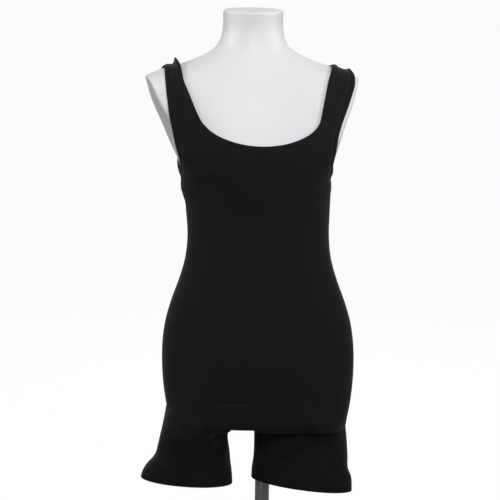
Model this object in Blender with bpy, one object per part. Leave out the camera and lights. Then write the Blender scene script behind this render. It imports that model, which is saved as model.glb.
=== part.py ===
"""Tank bodysuit with short legs, worn by a smooth limbless dress form on a pole and a round base.

Metres, +Z up, the front faces -Y. The origin is on the pole's axis, on the underside of the base.
Left and right are the viewer's. Tables and cut sizes are in millimetres and are turned to metres where
a mesh is made. The form's own frame is symmetrical about x = 0; TURN and the sections' centres place it.
"""

import functools
import math
from collections import namedtuple

import bmesh
import bpy
import numpy as np
from mathutils import Vector

MM = 0.001

# ---- driving dimensions -------------------------------------------------------------------------
TURN = math.radians(6.5)  # the form faces a little to the viewer's right
CLOTH = 1.5  # wall of one layer of the jersey
BAND = 2.2  # wall of a folded band or cuff
CLEAR = 1.7  # air between the form and the cloth
SEAM = 0.5  # gap between two sewn pieces
CUFF_SEAM = 0.6  # and at the top of a cuff, where the cloth's slope changes
NECK_BAND = 11.0
ARM_BAND = 9.0
CUFF = 30.0

FORM_BOTTOM = 342.0
FORM_EDGE = 18.0  # radius of the form's lower edge
NECK_TOP = 1060.0
NECK_EDGE = 5.0
SHOULDER_FOOT = 780.0  # the straps' lines over the shoulder start at this height
NECK_FOOT = 1010.0
NECK_SLANT = 0.06  # rise of the neck's top towards the back, per unit of depth
BUST = 7.0  # how far the bust stands out of the section's own curve
BUST_HEIGHT, BUST_ASIDE, BUST_SPREAD = 796.0, 72.0, 42.0

POLE_RADIUS = 12.5
POLE_FIT = 0.3
SOCKET_DEPTH = 60.0
BASE_RADIUS, BASE_THICK, BASE_EDGE = 150.0, 10.0, 3.0
HUB_RADIUS, HUB_TOP = 24.0, 30.0
POLE_SEAT = 4.0  # floor of the hub's bore above the ground

Section = namedtuple("Section", "height centre half plate edge front back power")
FORM = (
    # the form, section by section: half width, half width at the flat arm plates and the rounding of
    # their rims, reach to front and back
    Section(342, -8.5, 158.0, 260, 36, 100, 108, 2.5),
    Section(390, -9.0, 162.5, 260, 36, 105, 116, 2.45),
    Section(440, -9.5, 165.5, 260, 36, 108, 121, 2.4),
    Section(480, -10.0, 164.5, 260, 36, 108, 120, 2.35),
    Section(517, -10.7, 159.0, 260, 36, 107, 114, 2.3),
    Section(552, -11.5, 148.8, 260, 36, 104, 104, 2.3),
    Section(590, -12.2, 135.0, 260, 36, 100, 93, 2.25),
    Section(627, -12.6, 124.6, 260, 36, 96, 86, 2.2),
    Section(665, -12.9, 120.5, 260, 36, 94, 83, 2.2),
    Section(708, -13.3, 122.0, 260, 36, 98, 84, 2.2),
    Section(734, -14.2, 123.8, 160, 36, 104, 87, 2.2),
    Section(747, -15.4, 126.2, 150, 30, 107, 88, 2.2),
    Section(768, -16.5, 136.0, 131.5, 32, 110.5, 91, 2.15),
    Section(790, -19.3, 160.0, 129.6, 30, 113, 99, 2.1),
    Section(821, -22.8, 186.0, 139.2, 22, 113, 106, 2.0),
    Section(858, -24.6, 200.0, 152.4, 12, 107, 110, 2.0),
    Section(903, -26.0, 205.0, 171.4, 6, 95, 108, 2.0),
    Section(937, -25.8, 196.0, 183.2, 6, 82, 98, 2.0),
    Section(951, -25.4, 172.0, 190, 6, 76, 90, 2.0),
    Section(968, -25.0, 117.5, 190, 6, 70, 78, 2.0),
    Section(979, -25.4, 91.0, 190, 6, 66, 72, 2.0),
    Section(988, -25.4, 74.0, 190, 6, 63.5, 66, 2.0),
    Section(998, -26.2, 62.5, 190, 6, 61.5, 60, 1.95),
    Section(1010, -26.2, 56.0, 190, 6, 60, 54, 2.0),
    Section(1024, -26.4, 52.7, 190, 6, 59, 49, 2.0),
    Section(1060, -26.7, 52.0, 190, 6, 62, 43, 2.0),
)

# The scoop of the neck is half an ellipse in the form's own front view.
Scoop = namedtuple("Scoop", "half_width depth centre")
FRONT_SCOOP = Scoop(107.0, 55.7, 885.0)
BACK_SCOOP = Scoop(107.0, 42.0, 903.0)
SCOOP_TURN = math.radians(65)  # where the scoop's curve runs on into the strap
STRAP_FOOT = 12.0  # the armhole's edge of the strap starts this much lower

Strap = namedtuple("Strap", "drop neck arm_left arm_right")
STRAP = (
    # way below the shoulder seam; distance of the neckline and of the armholes from the middle
    Strap(0, 130.0, 155.5, 172.5),
    Strap(50, 126.5, 156.0, 170.0),
    Strap(85, 120.5, 155.0, 161.5),
    Strap(120, 111.5, 152.0, 150.0),
    Strap(142, 106.3, 149.0, 143.5),
    Strap(168, 97.0, 146.0, 138.0),
)

Armhole = namedtuple("Armhole", "height left right")
FRONT_ARMHOLE = (
    # way from the middle to the armhole's edge, measured round the body
    Armhole(800, 148.0, 138.8),
    Armhole(825, 149.5, 140.5),
    Armhole(853, 153.0, 144.7),
    Armhole(880, 156.3, 154.0),
)
BACK_ARMHOLE = (
    Armhole(800, 145.0, 145.0),
    Armhole(825, 147.0, 147.0),
    Armhole(853, 152.0, 151.0),
    Armhole(880, 156.3, 155.0),
)
ARM_TURN = {"left": 822.0, "right": 800.0}  # the armhole's edge turns under the arm from here
ARM_LOW = {"left": 788.0, "right": 778.0}  # and is lowest here, at the side seam

Crotch = namedtuple("Crotch", "left right depth height")
GUSSET_FRONT = Crotch(-76.0, -28.5, -106.0, 389.0)
GUSSET_BACK = Crotch(-74.0, -26.0, 118.0, 389.0)
GUSSET_UNDER = Crotch(-54.7, -15.8, 0.0, 337.5)
HIP_ROW = 361.0  # the legs' cloth leaves the form here, at the side seams
HIP_SPACING = 1.45  # the columns crowd towards the gusset, where the legs' inner sides come from
BEND = 4.0  # how sharply the cloth turns under the form, between the legs
BEND_ASIDE = 2.2  # and at the side seams

Leg = namedtuple("Leg", "share outer inner front back seam power")
LEFT_LEG = (
    # share of the way from the crotch to the hem; edges; reach to front and back of the seams
    Leg(0.00, -181.5, -55.0, 88, 92, -12, 2.8),
    Leg(0.22, -185.0, -61.5, 78, 84, -10, 2.6),
    Leg(0.50, -189.5, -58.0, 62, 66, -7, 2.4),
    Leg(0.60, -194.5, -57.0, 58, 61, -6, 2.35),
    Leg(0.68, -204.0, -56.0, 55, 58, -5, 2.3),
    Leg(1.00, -214.0, -52.6, 48, 50, -3, 2.2),
)
RIGHT_LEG = (
    Leg(0.00, 147.5, -15.6, 86, 92, 18, 2.8),
    Leg(0.20, 148.5, -15.2, 66, 78, 14, 2.5),
    Leg(0.45, 150.0, -15.2, 58, 64, 10, 2.4),
    Leg(0.68, 151.5, -16.5, 52, 57, 7, 2.35),
    Leg(0.74, 155.0, -17.4, 50, 55, 6, 2.3),
    Leg(1.00, 157.8, -19.4, 43, 48, 4, 2.2),
)
LEG_TOP = 310.0  # the leg's first row at its outer seam; the inner end is under the gusset
HEM = {"left": (236.0, 226.0), "right": (214.0, 237.0)}  # height of the hem, outer and inner

Fold = namedtuple("Fold", "side x0 z0 x1 z1 width height")
FOLDS = (
    # soft ridges (+) and troughs (-) that run over the legs, front view, ends and half width
    Fold(1, -8, 322, 80, 336, 9, -7.0),
    Fold(1, 4, 285, 62, 313, 12, 4.5),
    Fold(1, 22, 270, 108, 322, 11, -5.0),
    Fold(1, 118, 330, 140, 262, 12, 2.5),
    Fold(1, -160, 352, -102, 334, 14, 4.0),
    Fold(1, -102, 334, -86, 290, 11, 4.0),
    Fold(1, -80, 326, -66, 302, 10, -7.0),
    Fold(1, -150, 292, -112, 280, 16, -3.5),
    Fold(-1, -12, 325, 90, 332, 10, -5.0),
    Fold(-1, 30, 300, 110, 262, 12, 4.0),
    Fold(-1, -165, 340, -100, 325, 14, 4.0),
    Fold(-1, -84, 322, -64, 280, 10, -5.0),
)

Gather = namedtuple("Gather", "strap across width height")
GATHERS = (
    # ridges along a strap where it lies bunched over the shoulder; across is from the arm edge, 0 to 1
    Gather("left", 0.74, 0.15, 9.5),
    Gather("left", 0.22, 0.24, 1.5),
    Gather("right", 0.92, 0.14, 1.0),
    Gather("right", 0.22, 0.15, 3.5),
    Gather("right", 0.58, 0.15, 1.2),
)
GATHER_REACH = 34.0  # how far from the shoulder seam the gathers fade out
STRAP_LIFT = 0.3  # a bunched strap stands this much off the shoulder
ARM_ROW_DIP = 14.0  # the row of points under the arms sags this much in the middle

# Grid counts: columns across a panel and rows along it.
LEG_COLUMNS, GUSSET_COLUMNS, ARM_COLUMNS, STRAP_COLUMNS = 11, 4, 4, 3
PANEL_COLUMNS = 2 * LEG_COLUMNS + GUSSET_COLUMNS
SCOOP_COLUMNS = PANEL_COLUMNS - 2 * ARM_COLUMNS - 2 * STRAP_COLUMNS
BODY_ROWS, CHEST_ROWS, STRAP_ROWS, TURN_ROWS, LEG_ROWS = 16, 3, 9, 6, 5
BAND_ROWS = 2
RIM_STEPS, PLATE_STEPS = 9, 3  # points round a quarter of the form, to the arm plate's rim and on it
RING_POINTS = 240

FRONT, BACK = 1, -1
SIGN = {"left": -1, "right": 1}


# ---- reading the tables -------------------------------------------------------------------------
def smooth(places, values, at):
    """A cubic curve through a table's rows, read at one place or several."""
    p, v = np.asarray(places, float), np.asarray(values, float)
    at = np.clip(at, p[0], p[-1])
    run, gap = np.diff(v) / np.diff(p), np.diff(p)
    inner = (run[1:] * gap[:-1] + run[:-1] * gap[1:]) / (gap[1:] + gap[:-1])
    slope = np.concatenate([run[:1], inner, run[-1:]])
    i = np.clip(np.searchsorted(p, at) - 1, 0, len(p) - 2)
    t = (at - p[i]) / gap[i]
    first = (1 + 2 * t) * (1 - t) ** 2 * v[i] + t * (1 - t) ** 2 * gap[i] * slope[i]
    return first + t * t * (3 - 2 * t) * v[i + 1] + t * t * (t - 1) * gap[i] * slope[i + 1]


def column(table, name, at):
    """One named column of a table, read at a value of the table's first column."""
    return smooth([row[0] for row in table], [getattr(row, name) for row in table], at)


def mix(a, b, share):
    return a + (b - a) * share


# ---- the form's skin ----------------------------------------------------------------------------
def bust(x, z):
    """How far the bust stands out at a place of the front."""
    rise = sum(np.exp(-(((x - a) / BUST_SPREAD) ** 2)) for a in (-BUST_ASIDE, BUST_ASIDE))
    return BUST * rise * np.exp(-(((z - BUST_HEIGHT) / BUST_SPREAD) ** 2))


def curve_depth(wide, z, side):
    """Depth of the section's own curve, before the arm plates cut it, in the form's own frame."""
    power = column(FORM, "power", z)
    front, back = column(FORM, "front", z), column(FORM, "back", z)
    share = np.clip(np.abs(wide) / column(FORM, "half", z), 0, 1)
    depth = (back + front) / 2 * (1 - share**power) ** (1 / power)
    return (back - front) / 2 - side * depth - (bust(wide, z) if side == FRONT else 0)


def cut_by_plate(wide, z):
    """Distance from the middle once the flat arm plate has cut the section's curve."""
    plate, edge = column(FORM, "plate", z), column(FORM, "edge", z)
    over = np.clip(wide - plate + edge, 0, 2 * edge)
    return np.minimum(wide, plate + edge) - over**2 / (4 * edge)


def skin_depth(x, z, side):
    """Depth of the skin at a distance from the middle and a height."""
    edge = column(FORM, "edge", z)
    start = column(FORM, "plate", z) - edge
    over = np.clip((x - start) / edge, 0, 1)
    return curve_depth(np.minimum(x, start) + 2 * edge * (1 - np.sqrt(1 - over)), z, side)


def ring_line(z, side):
    """A half section from the middle of the front or back to the side seam, evenly spaced."""
    turn = np.linspace(0, math.pi / 2, RING_POINTS)
    wide = column(FORM, "half", z) * np.sin(turn) ** (2 / column(FORM, "power", z))
    x, y = cut_by_plate(wide, z), curve_depth(wide, z, side)
    way = np.concatenate([[0], np.cumsum(np.hypot(np.diff(x), np.diff(y)))])
    even = np.linspace(0, way[-1], RING_POINTS)
    return np.interp(even, way, x), np.interp(even, way, y), way[-1]


HEIGHTS = np.arange(330.0, 1064.0, 2.0)
RINGS = {side: [ring_line(z, side) for z in HEIGHTS] for side in (FRONT, BACK)}


def half_ring(z, side):
    """The half section at any height: x, depth and the whole way round it."""
    at = (z - HEIGHTS[0]) / (HEIGHTS[1] - HEIGHTS[0])
    row = int(min(max(at, 0), len(HEIGHTS) - 2))
    low, high = RINGS[side][row], RINGS[side][row + 1]
    return [mix(a, b, at - row) for a, b in zip(low, high)]


def half_girth(z, side):
    return half_ring(z, side)[2]


def placed(x, y, z):
    """From the form's own frame to the part's."""
    centre = column(FORM, "centre", z)
    c, s = math.cos(TURN), math.sin(TURN)
    return np.array([centre + x * c - y * s, x * s + y * c, z])


def body(way, z, side):
    """A place on the form's skin, a way round from the middle at a height."""
    x, y, whole = half_ring(z, side)
    at = min(abs(way) / whole, 1.0) * (RING_POINTS - 1)
    steps = np.arange(RING_POINTS)
    return placed(math.copysign(np.interp(at, steps, x), way), np.interp(at, steps, y), z)


def own_x(way, z, side):
    """Distance from the middle at a way round, in the form's own front view."""
    x, _, whole = half_ring(z, side)
    at = min(abs(way) / whole, 1.0) * (RING_POINTS - 1)
    return math.copysign(np.interp(at, np.arange(RING_POINTS), x), way)


def way_at(x, z, side):
    """The way round from the middle to a distance x of the form's own front view."""
    xs, _, whole = half_ring(z, side)
    return math.copysign(np.interp(abs(x), xs, np.linspace(0, whole, RING_POINTS)), x)


RIDGE = [(s.half, s.height) for s in FORM if s.height >= 903]
RIDGE_HEIGHTS = np.arange(RIDGE[0][1], RIDGE[-1][1], 0.25)
RIDGE_HALVES = column(FORM, "half", RIDGE_HEIGHTS)


@functools.lru_cache(maxsize=None)
def shoulder_line(x):
    """The form's profile at a distance from the middle, from the chest over the shoulder to the back:
    depths, heights, and the way from the shoulder seam, which is negative in front."""
    ridge = np.interp(-x, -RIDGE_HALVES, RIDGE_HEIGHTS)
    rise = np.sin(np.linspace(0, math.pi / 2, RING_POINTS)) ** 2
    z = mix(SHOULDER_FOOT, ridge, rise)
    y = np.concatenate([skin_depth(x, z, FRONT), skin_depth(x, z, BACK)[-2::-1]])
    z = np.concatenate([z, z[-2::-1]])
    way = np.concatenate([[0], np.cumsum(np.hypot(np.diff(y), np.diff(z)))])
    return y, z, way - way[RING_POINTS - 1]


def shoulder(x, drop, side):
    """A place on the form's skin, a distance below the shoulder seam."""
    y, z, way = shoulder_line(round(abs(x), 3))
    return placed(x, np.interp(-side * drop, way, y), np.interp(-side * drop, way, z))


def drop_at(x, z, side):
    """The distance below the shoulder seam of a height on the skin."""
    _, heights, way = shoulder_line(round(abs(x), 3))
    half = slice(0, RING_POINTS) if side == FRONT else slice(None, RING_POINTS - 2, -1)
    return abs(float(np.interp(z, heights[half], way[half])))


def lifted(skin, a, b, side, lift, step=0.4):
    """The skin's place moved out by lift, along the normal found by stepping both of its directions."""
    across = skin(a + step, b, side) - skin(a - step, b, side)
    up = skin(a, b + step, side) - skin(a, b - step, side)
    normal = np.cross(across, up) * (-side if skin is shoulder else side)
    return skin(a, b, side) + normal * (lift / max(np.linalg.norm(normal), 1e-9))


# ---- folds and gathers --------------------------------------------------------------------------
def fold_height(x, z, side):
    """The sum of the folds at a place of the front or back view."""
    total = 0.0
    for f in FOLDS:
        if f.side != side:
            continue
        run = np.array([f.x1 - f.x0, f.z1 - f.z0])
        off = np.array([x - f.x0, z - f.z0])
        along = float(off @ run / (run @ run))
        beside = abs(float(off[0] * run[1] - off[1] * run[0])) / math.hypot(*run)
        end = math.exp(-((max(0.0, abs(along - 0.5) - 0.4) * 4.0) ** 2))
        total += f.height * end * math.exp(-((beside / f.width) ** 2))
    return total


def gather_height(strap, across, drop):
    """How far a bunched strap stands off the shoulder."""
    rise = STRAP_LIFT + sum(
        g.height * math.exp(-(((across - g.across) / g.width) ** 2)) for g in GATHERS if g.strap == strap
    )
    return rise * math.exp(-((drop / GATHER_REACH) ** 2))


# ---- the edges of the cut -----------------------------------------------------------------------
def scoop_of(side):
    return FRONT_SCOOP if side == FRONT else BACK_SCOOP


def scoop_place(side, turn, out):
    """Distance from the middle and height of the scoop's edge, or of a line outside it."""
    scoop = scoop_of(side)
    return (scoop.half_width + out) * math.sin(turn), scoop.centre - (scoop.depth + out) * math.cos(turn)


def scoop_point(side, turn, out):
    """The same as (way round, height)."""
    x, z = scoop_place(side, turn, out)
    return way_at(x, z, side), z


def arm_way(strap, side, z):
    return column(FRONT_ARMHOLE if side == FRONT else BACK_ARMHOLE, strap, z)


def underarm_point(strap, side, share, out, gap):
    """A place on the quarter ellipse from the armhole's edge, share 0, to the side seam, share 1."""
    turn = share * math.pi / 2
    top, low = ARM_TURN[strap], ARM_LOW[strap] - out
    z = top - (top - low) * math.sin(turn)
    way = mix(half_girth(z, side) - gap, arm_way(strap, side, top) - out, math.cos(turn))
    return SIGN[strap] * way, z


def eased(share):
    return share * share * (3 - 2 * share)


def strap_edge(strap, side, share, edge, inset, gap):
    """Distance from the middle and drop of a strap's edge; share 0 is level with the scoop's corner."""
    if edge == "neck":
        x, z = scoop_place(side, SCOOP_TURN, inset)
        name, inwards = "neck", inset
    else:
        z = scoop_place(side, SCOOP_TURN, 0)[1] - STRAP_FOOT
        x = own_x(arm_way(strap, side, z) - inset, z, side)
        name, inwards = "arm_" + strap, -inset
    first = drop_at(x, z, side)
    drop = mix(first, gap, share)
    missed = x - column(STRAP, name, first) - inwards
    return column(STRAP, name, drop) + inwards + missed * (1 - eased(min(1.0, share * 2))), drop


def strap_spot(strap, side, x, drop, lift):
    """A place on a strap, lifted off the skin and gathered towards the shoulder seam."""
    arm, neck = column(STRAP, "arm_" + strap, drop), column(STRAP, "neck", drop)
    bunch = gather_height(strap, (arm - x) / (arm - neck), drop)
    return lifted(shoulder, SIGN[strap] * x, drop, side, lift + bunch)


# ---- meshes -------------------------------------------------------------------------------------
def grid(mesh, columns, rows, place):
    """A grid of quads, each vertex placed by its shares across and along."""
    made = bmesh.ops.create_grid(mesh, x_segments=columns, y_segments=rows, size=0.5)["verts"]
    for vertex in made:
        across, along = vertex.co.x + 0.5, vertex.co.y + 0.5
        vertex.co = place(across, along) * MM


def material(name, colour, roughness, metallic=0.0):
    made = bpy.data.materials.new(name)
    made.use_nodes = True
    shader = made.node_tree.nodes["Principled BSDF"]
    shader.inputs["Base Color"].default_value = (*colour, 1)
    shader.inputs["Roughness"].default_value = roughness
    shader.inputs["Metallic"].default_value = metallic
    return made


def finish(name, mesh, finish_material, wall=None):
    """The object of a mesh; an open sheet of cloth gets its wall outwards from its inner face."""
    bmesh.ops.remove_doubles(mesh, verts=mesh.verts, dist=0.00002)
    data = bpy.data.meshes.new(name)
    mesh.to_mesh(data)
    mesh.free()
    data.shade_smooth()
    data.set_sharp_from_angle(angle=math.radians(40))
    data.materials.append(finish_material)
    made = bpy.data.objects.new(name, data)
    bpy.context.scene.collection.objects.link(made)
    if wall:
        thick = made.modifiers.new("wall", "SOLIDIFY")
        thick.thickness = wall * MM
        thick.offset = 1.0
        thick.use_even_offset = True
    return made


def loft(mesh, rings):
    """A closed body through rings of the same number of points."""
    loops = []
    for ring in rings:
        made = bmesh.ops.create_circle(mesh, segments=len(ring), radius=1.0)["verts"]
        for vertex, point in zip(made, ring):
            vertex.co = point * MM
        loops.append(list({edge for vertex in made for edge in vertex.link_edges}))
    for low, high in zip(loops, loops[1:]):
        bmesh.ops.bridge_loops(mesh, edges=low + high)
    for end in (loops[0], loops[-1]):
        bmesh.ops.contextual_create(mesh, geom=end)
    bmesh.ops.recalc_face_normals(mesh, faces=mesh.faces)


# ---- front and back panels ----------------------------------------------------------------------
def gusset_of(side):
    return GUSSET_FRONT if side == FRONT else GUSSET_BACK


def gusset_end(side, edge, inset):
    """(way, height) of an end of the gusset's seam, moved inwards by inset."""
    seam = gusset_of(side)
    x = getattr(seam, edge) - SIGN[edge] * inset
    middle = column(FORM, "centre", seam.height) - seam.depth * math.sin(TURN)
    return way_at((x - middle) / math.cos(TURN), seam.height, side), seam.height - inset


def hip_point(at, side):
    """(way, height) at a column of the row where the legs begin, from the left seam to the right."""
    left, right = (gusset_end(side, edge, -SEAM / 2) for edge in ("left", "right"))
    girth = half_girth(HIP_ROW, side) - SEAM / 2
    if at < LEG_COLUMNS:
        end, start, share = -girth, left, (1 - at / LEG_COLUMNS) ** HIP_SPACING
    elif at > LEG_COLUMNS + GUSSET_COLUMNS:
        share = ((at - LEG_COLUMNS - GUSSET_COLUMNS) / LEG_COLUMNS) ** HIP_SPACING
        end, start = girth, right
    else:
        return mix(left[0], right[0], (at - LEG_COLUMNS) / GUSSET_COLUMNS), left[1]
    return mix(start[0], end, share), mix(start[1], HIP_ROW, share**1.4)


def arm_row(at, side):
    """(way, height) at a column of the row under the arms: its ends follow the armholes."""
    out, gap = ARM_BAND + SEAM, SEAM / 2
    if at < ARM_COLUMNS:
        return underarm_point("left", side, 1 - at / ARM_COLUMNS, out, gap)
    if at > PANEL_COLUMNS - ARM_COLUMNS:
        return underarm_point("right", side, 1 - (PANEL_COLUMNS - at) / ARM_COLUMNS, out, gap)
    left, right = (underarm_point(strap, side, 0, out, gap) for strap in ("left", "right"))
    share = (at - ARM_COLUMNS) / (PANEL_COLUMNS - 2 * ARM_COLUMNS)
    dip = ARM_ROW_DIP * math.sin(math.pi * share)
    return mix(left[0], right[0], share), mix(left[1], right[1], share) - dip


def body_part(mesh, side):
    """From the hips to the row under the arms."""

    def place(across, along):
        low, high = hip_point(across * PANEL_COLUMNS, side), arm_row(across * PANEL_COLUMNS, side)
        z = mix(low[1], high[1], along)
        ends = low[0] / half_girth(low[1], side), high[0] / half_girth(high[1], side)
        return lifted(body, mix(*ends, eased(along)) * half_girth(z, side), z, side, CLEAR)

    grid(mesh, PANEL_COLUMNS, BODY_ROWS, place)


def foot_row(at, side):
    """The row through the scoop and the feet of the straps: (way, height) and the place itself."""
    count, out = PANEL_COLUMNS - 2 * ARM_COLUMNS, NECK_BAND + SEAM
    if STRAP_COLUMNS <= at <= count - STRAP_COLUMNS:
        way, z = scoop_point(side, mix(-SCOOP_TURN, SCOOP_TURN, (at - STRAP_COLUMNS) / SCOOP_COLUMNS), out)
        return way, z, lifted(body, way, z, side, CLEAR)
    strap = "left" if at < STRAP_COLUMNS else "right"
    spot, x, z = strap_point(strap, side, 0.0, (at if strap == "left" else count - at) / STRAP_COLUMNS)
    return SIGN[strap] * way_at(x, z, side), z, spot


def strap_point(strap, side, share, across):
    """A place on a strap between its two bands, its distance from the middle and its height."""
    arm_x, arm_drop = strap_edge(strap, side, share, "arm", ARM_BAND + SEAM, SEAM / 2)
    neck_x, neck_drop = strap_edge(strap, side, share, "neck", NECK_BAND + SEAM, SEAM / 2)
    x, drop = mix(arm_x, neck_x, across), mix(arm_drop, neck_drop, across)
    return strap_spot(strap, side, x, drop, CLEAR), x, shoulder(x, drop, side)[2]


def chest_part(mesh, side):
    """From the row under the arms to the scoop and the feet of the straps."""
    count, out = PANEL_COLUMNS - 2 * ARM_COLUMNS, ARM_BAND + SEAM

    def span(z):
        return -(arm_way("left", side, z) - out), arm_way("right", side, z) - out

    def share_of(way, z):
        left, right = span(z)
        return (way - left) / (right - left)

    def place(across, along):
        low = arm_row(across * count + ARM_COLUMNS, side)
        way, height, spot = foot_row(across * count, side)
        z = mix(low[1], height, along)
        share = mix(share_of(*low), share_of(way, height), along)
        missed = spot - lifted(body, way, height, side, CLEAR)
        return lifted(body, mix(*span(z), share), z, side, CLEAR) + missed * along**2

    grid(mesh, count, CHEST_ROWS, place)


def strap_part(mesh, strap, side):
    def place(across, along):
        return strap_point(strap, side, along, across if strap == "left" else 1 - across)[0]

    grid(mesh, STRAP_COLUMNS, STRAP_ROWS, place)


def leg_ring(strap, side, across, share, inset):
    """A place on a leg's inner face: across 0 is the outer seam and 1 the inner one, share 0 the
    crotch and 1 the hem. The table gives the outer face, which is inset further out."""
    table = LEFT_LEG if strap == "left" else RIGHT_LEG
    outer, inner = column(table, "outer", share), column(table, "inner", share)
    power = column(table, "power", share)
    reach = column(table, "front" if side == FRONT else "back", share)
    c, s = math.cos(math.pi * across), math.sin(math.pi * across)
    wide, deep = math.copysign(abs(c) ** (2 / power), c), abs(s) ** (2 / power)
    half, seam = (outer - inner) / 2, mix(column(table, "seam", share), 0, across)
    x, y = (outer + inner) / 2 + half * wide, seam - side * reach * deep
    z = mix(mix(LEG_TOP, GUSSET_UNDER.height, across), mix(*HEM[strap], (1 - wide) / 2), share)
    aside = math.copysign(abs(wide) ** (power - 1), c) / half
    normal = np.array([aside, -side * deep ** (power - 1) / reach, 0])
    rise = fold_height(x, z, side) * s * eased(min(1.0, (1 - share) * 4))
    return np.array([x, y, z]) + normal * ((rise - inset) / np.linalg.norm(normal))


def leg_point(strap, side, across, share):
    """The same for a panel: its edges stay half a seam's gap inside its own half."""
    spot = leg_ring(strap, side, across, share, CLOTH)
    spot[1] -= side * SEAM / 2 * max(0.0, 1 - min(across, 1 - across) * LEG_COLUMNS)
    return spot


def turned_under(start, end, share, across):
    """From the body's last row to the legs' first: the cloth drops before it runs in under the form."""
    bend = mix(BEND_ASIDE, BEND, across)
    spot = mix(start, end, 1 - (1 - share) ** bend)
    spot[1] = mix(start[1], end[1], share**bend)
    return spot


def leg_part(mesh, strap, side):
    last = cuff_share(strap)

    def hip(inward):
        at = LEG_COLUMNS * inward if strap == "left" else PANEL_COLUMNS - LEG_COLUMNS * inward
        return lifted(body, *hip_point(at, side), side, CLEAR)

    def upper(across, along):
        inward = across if strap == "left" else 1 - across
        spot = turned_under(hip(inward), leg_point(strap, side, inward, 0.0), 1 - along, inward)
        fade = math.sin(math.pi * along) * math.sin(math.pi * inward)
        spot[1] -= side * fold_height(spot[0], spot[2], side) * fade
        return spot

    def lower(across, along):
        inward = across if strap == "left" else 1 - across
        return leg_point(strap, side, inward, (1 - along) * last)

    grid(mesh, LEG_COLUMNS, TURN_ROWS, upper)
    grid(mesh, LEG_COLUMNS, LEG_ROWS, lower)


def cuff_share(strap):
    """Where a leg's cloth ends and its cuff begins."""
    long = (LEG_TOP + GUSSET_UNDER.height - sum(HEM[strap])) / 2
    return 1 - (CUFF + CUFF_SEAM) / long


def make_panel(name, side, jersey):
    mesh = bmesh.new()
    body_part(mesh, side)
    chest_part(mesh, side)
    for strap in ("left", "right"):
        strap_part(mesh, strap, side)
        leg_part(mesh, strap, side)
    if side == BACK:
        bmesh.ops.reverse_faces(mesh, faces=mesh.faces)
    return finish(name, mesh, jersey, CLOTH)


# ---- gusset, bands and cuffs --------------------------------------------------------------------
def make_gusset(jersey):
    """The strip between the legs, from its front seam under the form to its back seam."""
    mesh = bmesh.new()
    under = GUSSET_UNDER
    for side in (FRONT, BACK):
        left, right = (gusset_end(side, edge, SEAM / 2) for edge in ("left", "right"))

        def place(across, along, side=side, left=left, right=right):
            start = lifted(body, mix(left[0], right[0], across), left[1], side, CLEAR)
            end = np.array([mix(under.left + SEAM, under.right - SEAM, across), 0.0, under.height])
            return turned_under(start, end, along if side == FRONT else 1 - along, 1.0)

        grid(mesh, GUSSET_COLUMNS, TURN_ROWS, place)
    bmesh.ops.reverse_faces(mesh, faces=mesh.faces)
    return finish("crotch_gusset", mesh, jersey, CLOTH)


def strip(mesh, places, rows):
    """A closed band through places, each a function of the share across the band."""
    loops = []
    for row in range(rows + 1):
        made = bmesh.ops.create_circle(mesh, segments=len(places), radius=1.0)["verts"]
        for vertex, place in zip(made, places):
            vertex.co = place(row / rows) * MM
        loops.append(list({edge for vertex in made for edge in vertex.link_edges}))
    for low, high in zip(loops, loops[1:]):
        bmesh.ops.bridge_loops(mesh, edges=low + high)


def make_band(name, rib, places, outwards):
    """A closed band; outwards is a direction that the first place's face looks in."""
    mesh = bmesh.new()
    strip(mesh, places, BAND_ROWS)
    mesh.normal_update()
    start = Vector(places[0](0.5)) * MM
    first = min(mesh.faces, key=lambda face: (face.calc_center_median() - start).length)
    if first.normal.dot(Vector(outwards)) < 0:
        bmesh.ops.reverse_faces(mesh, faces=mesh.faces)
    return finish(name, mesh, rib, BAND)


def neck_places():
    """Round the neckline: front scoop, right strap to the back, back scoop, left strap to the front."""
    places = []

    def scoop(side, turn):
        def at(share):
            way, z = scoop_point(side, turn, share * NECK_BAND)
            return lifted(body, way, z, side, CLEAR)

        return at

    def edge(strap, side, along):
        def at(share):
            spot = strap_edge(strap, side, along, "neck", share * NECK_BAND, 0.0)
            return strap_spot(strap, side, *spot, CLEAR)

        return at

    for side, strap, other in ((FRONT, "right", BACK), (BACK, "left", FRONT)):
        turns = np.linspace(-SCOOP_TURN, SCOOP_TURN, SCOOP_COLUMNS + 1)
        places += [scoop(side, turn * side) for turn in turns[1:-1]]
        places += [edge(strap, side, i / STRAP_ROWS) for i in range(STRAP_ROWS + 1)]
        places += [edge(strap, other, i / STRAP_ROWS) for i in range(STRAP_ROWS - 1, -1, -1)]
    return places


def arm_places(strap):
    """Round an armhole: down the front, under the arm, up the back and over the shoulder."""
    places = []

    def edge(side, along):
        def at(share):
            spot = strap_edge(strap, side, along, "arm", share * ARM_BAND, 0.0)
            return strap_spot(strap, side, *spot, CLEAR)

        return at

    def beside(side, along):
        def at(share):
            z = mix(scoop_place(side, SCOOP_TURN, 0)[1] - STRAP_FOOT, ARM_TURN[strap], along)
            return lifted(body, SIGN[strap] * (arm_way(strap, side, z) - share * ARM_BAND), z, side, CLEAR)

        return at

    def under(side, along):
        def at(share):
            return lifted(body, *underarm_point(strap, side, along, share * ARM_BAND, 0.0), side, CLEAR)

        return at

    half = {}
    for side in (FRONT, BACK):
        half[side] = [edge(side, 1 - i / STRAP_ROWS) for i in range(STRAP_ROWS + 1)]
        half[side] += [beside(side, i / CHEST_ROWS) for i in range(1, CHEST_ROWS)]
        half[side] += [under(side, i / ARM_COLUMNS) for i in range(ARM_COLUMNS + 1)]
    return half[FRONT] + half[BACK][-2:0:-1]


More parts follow.
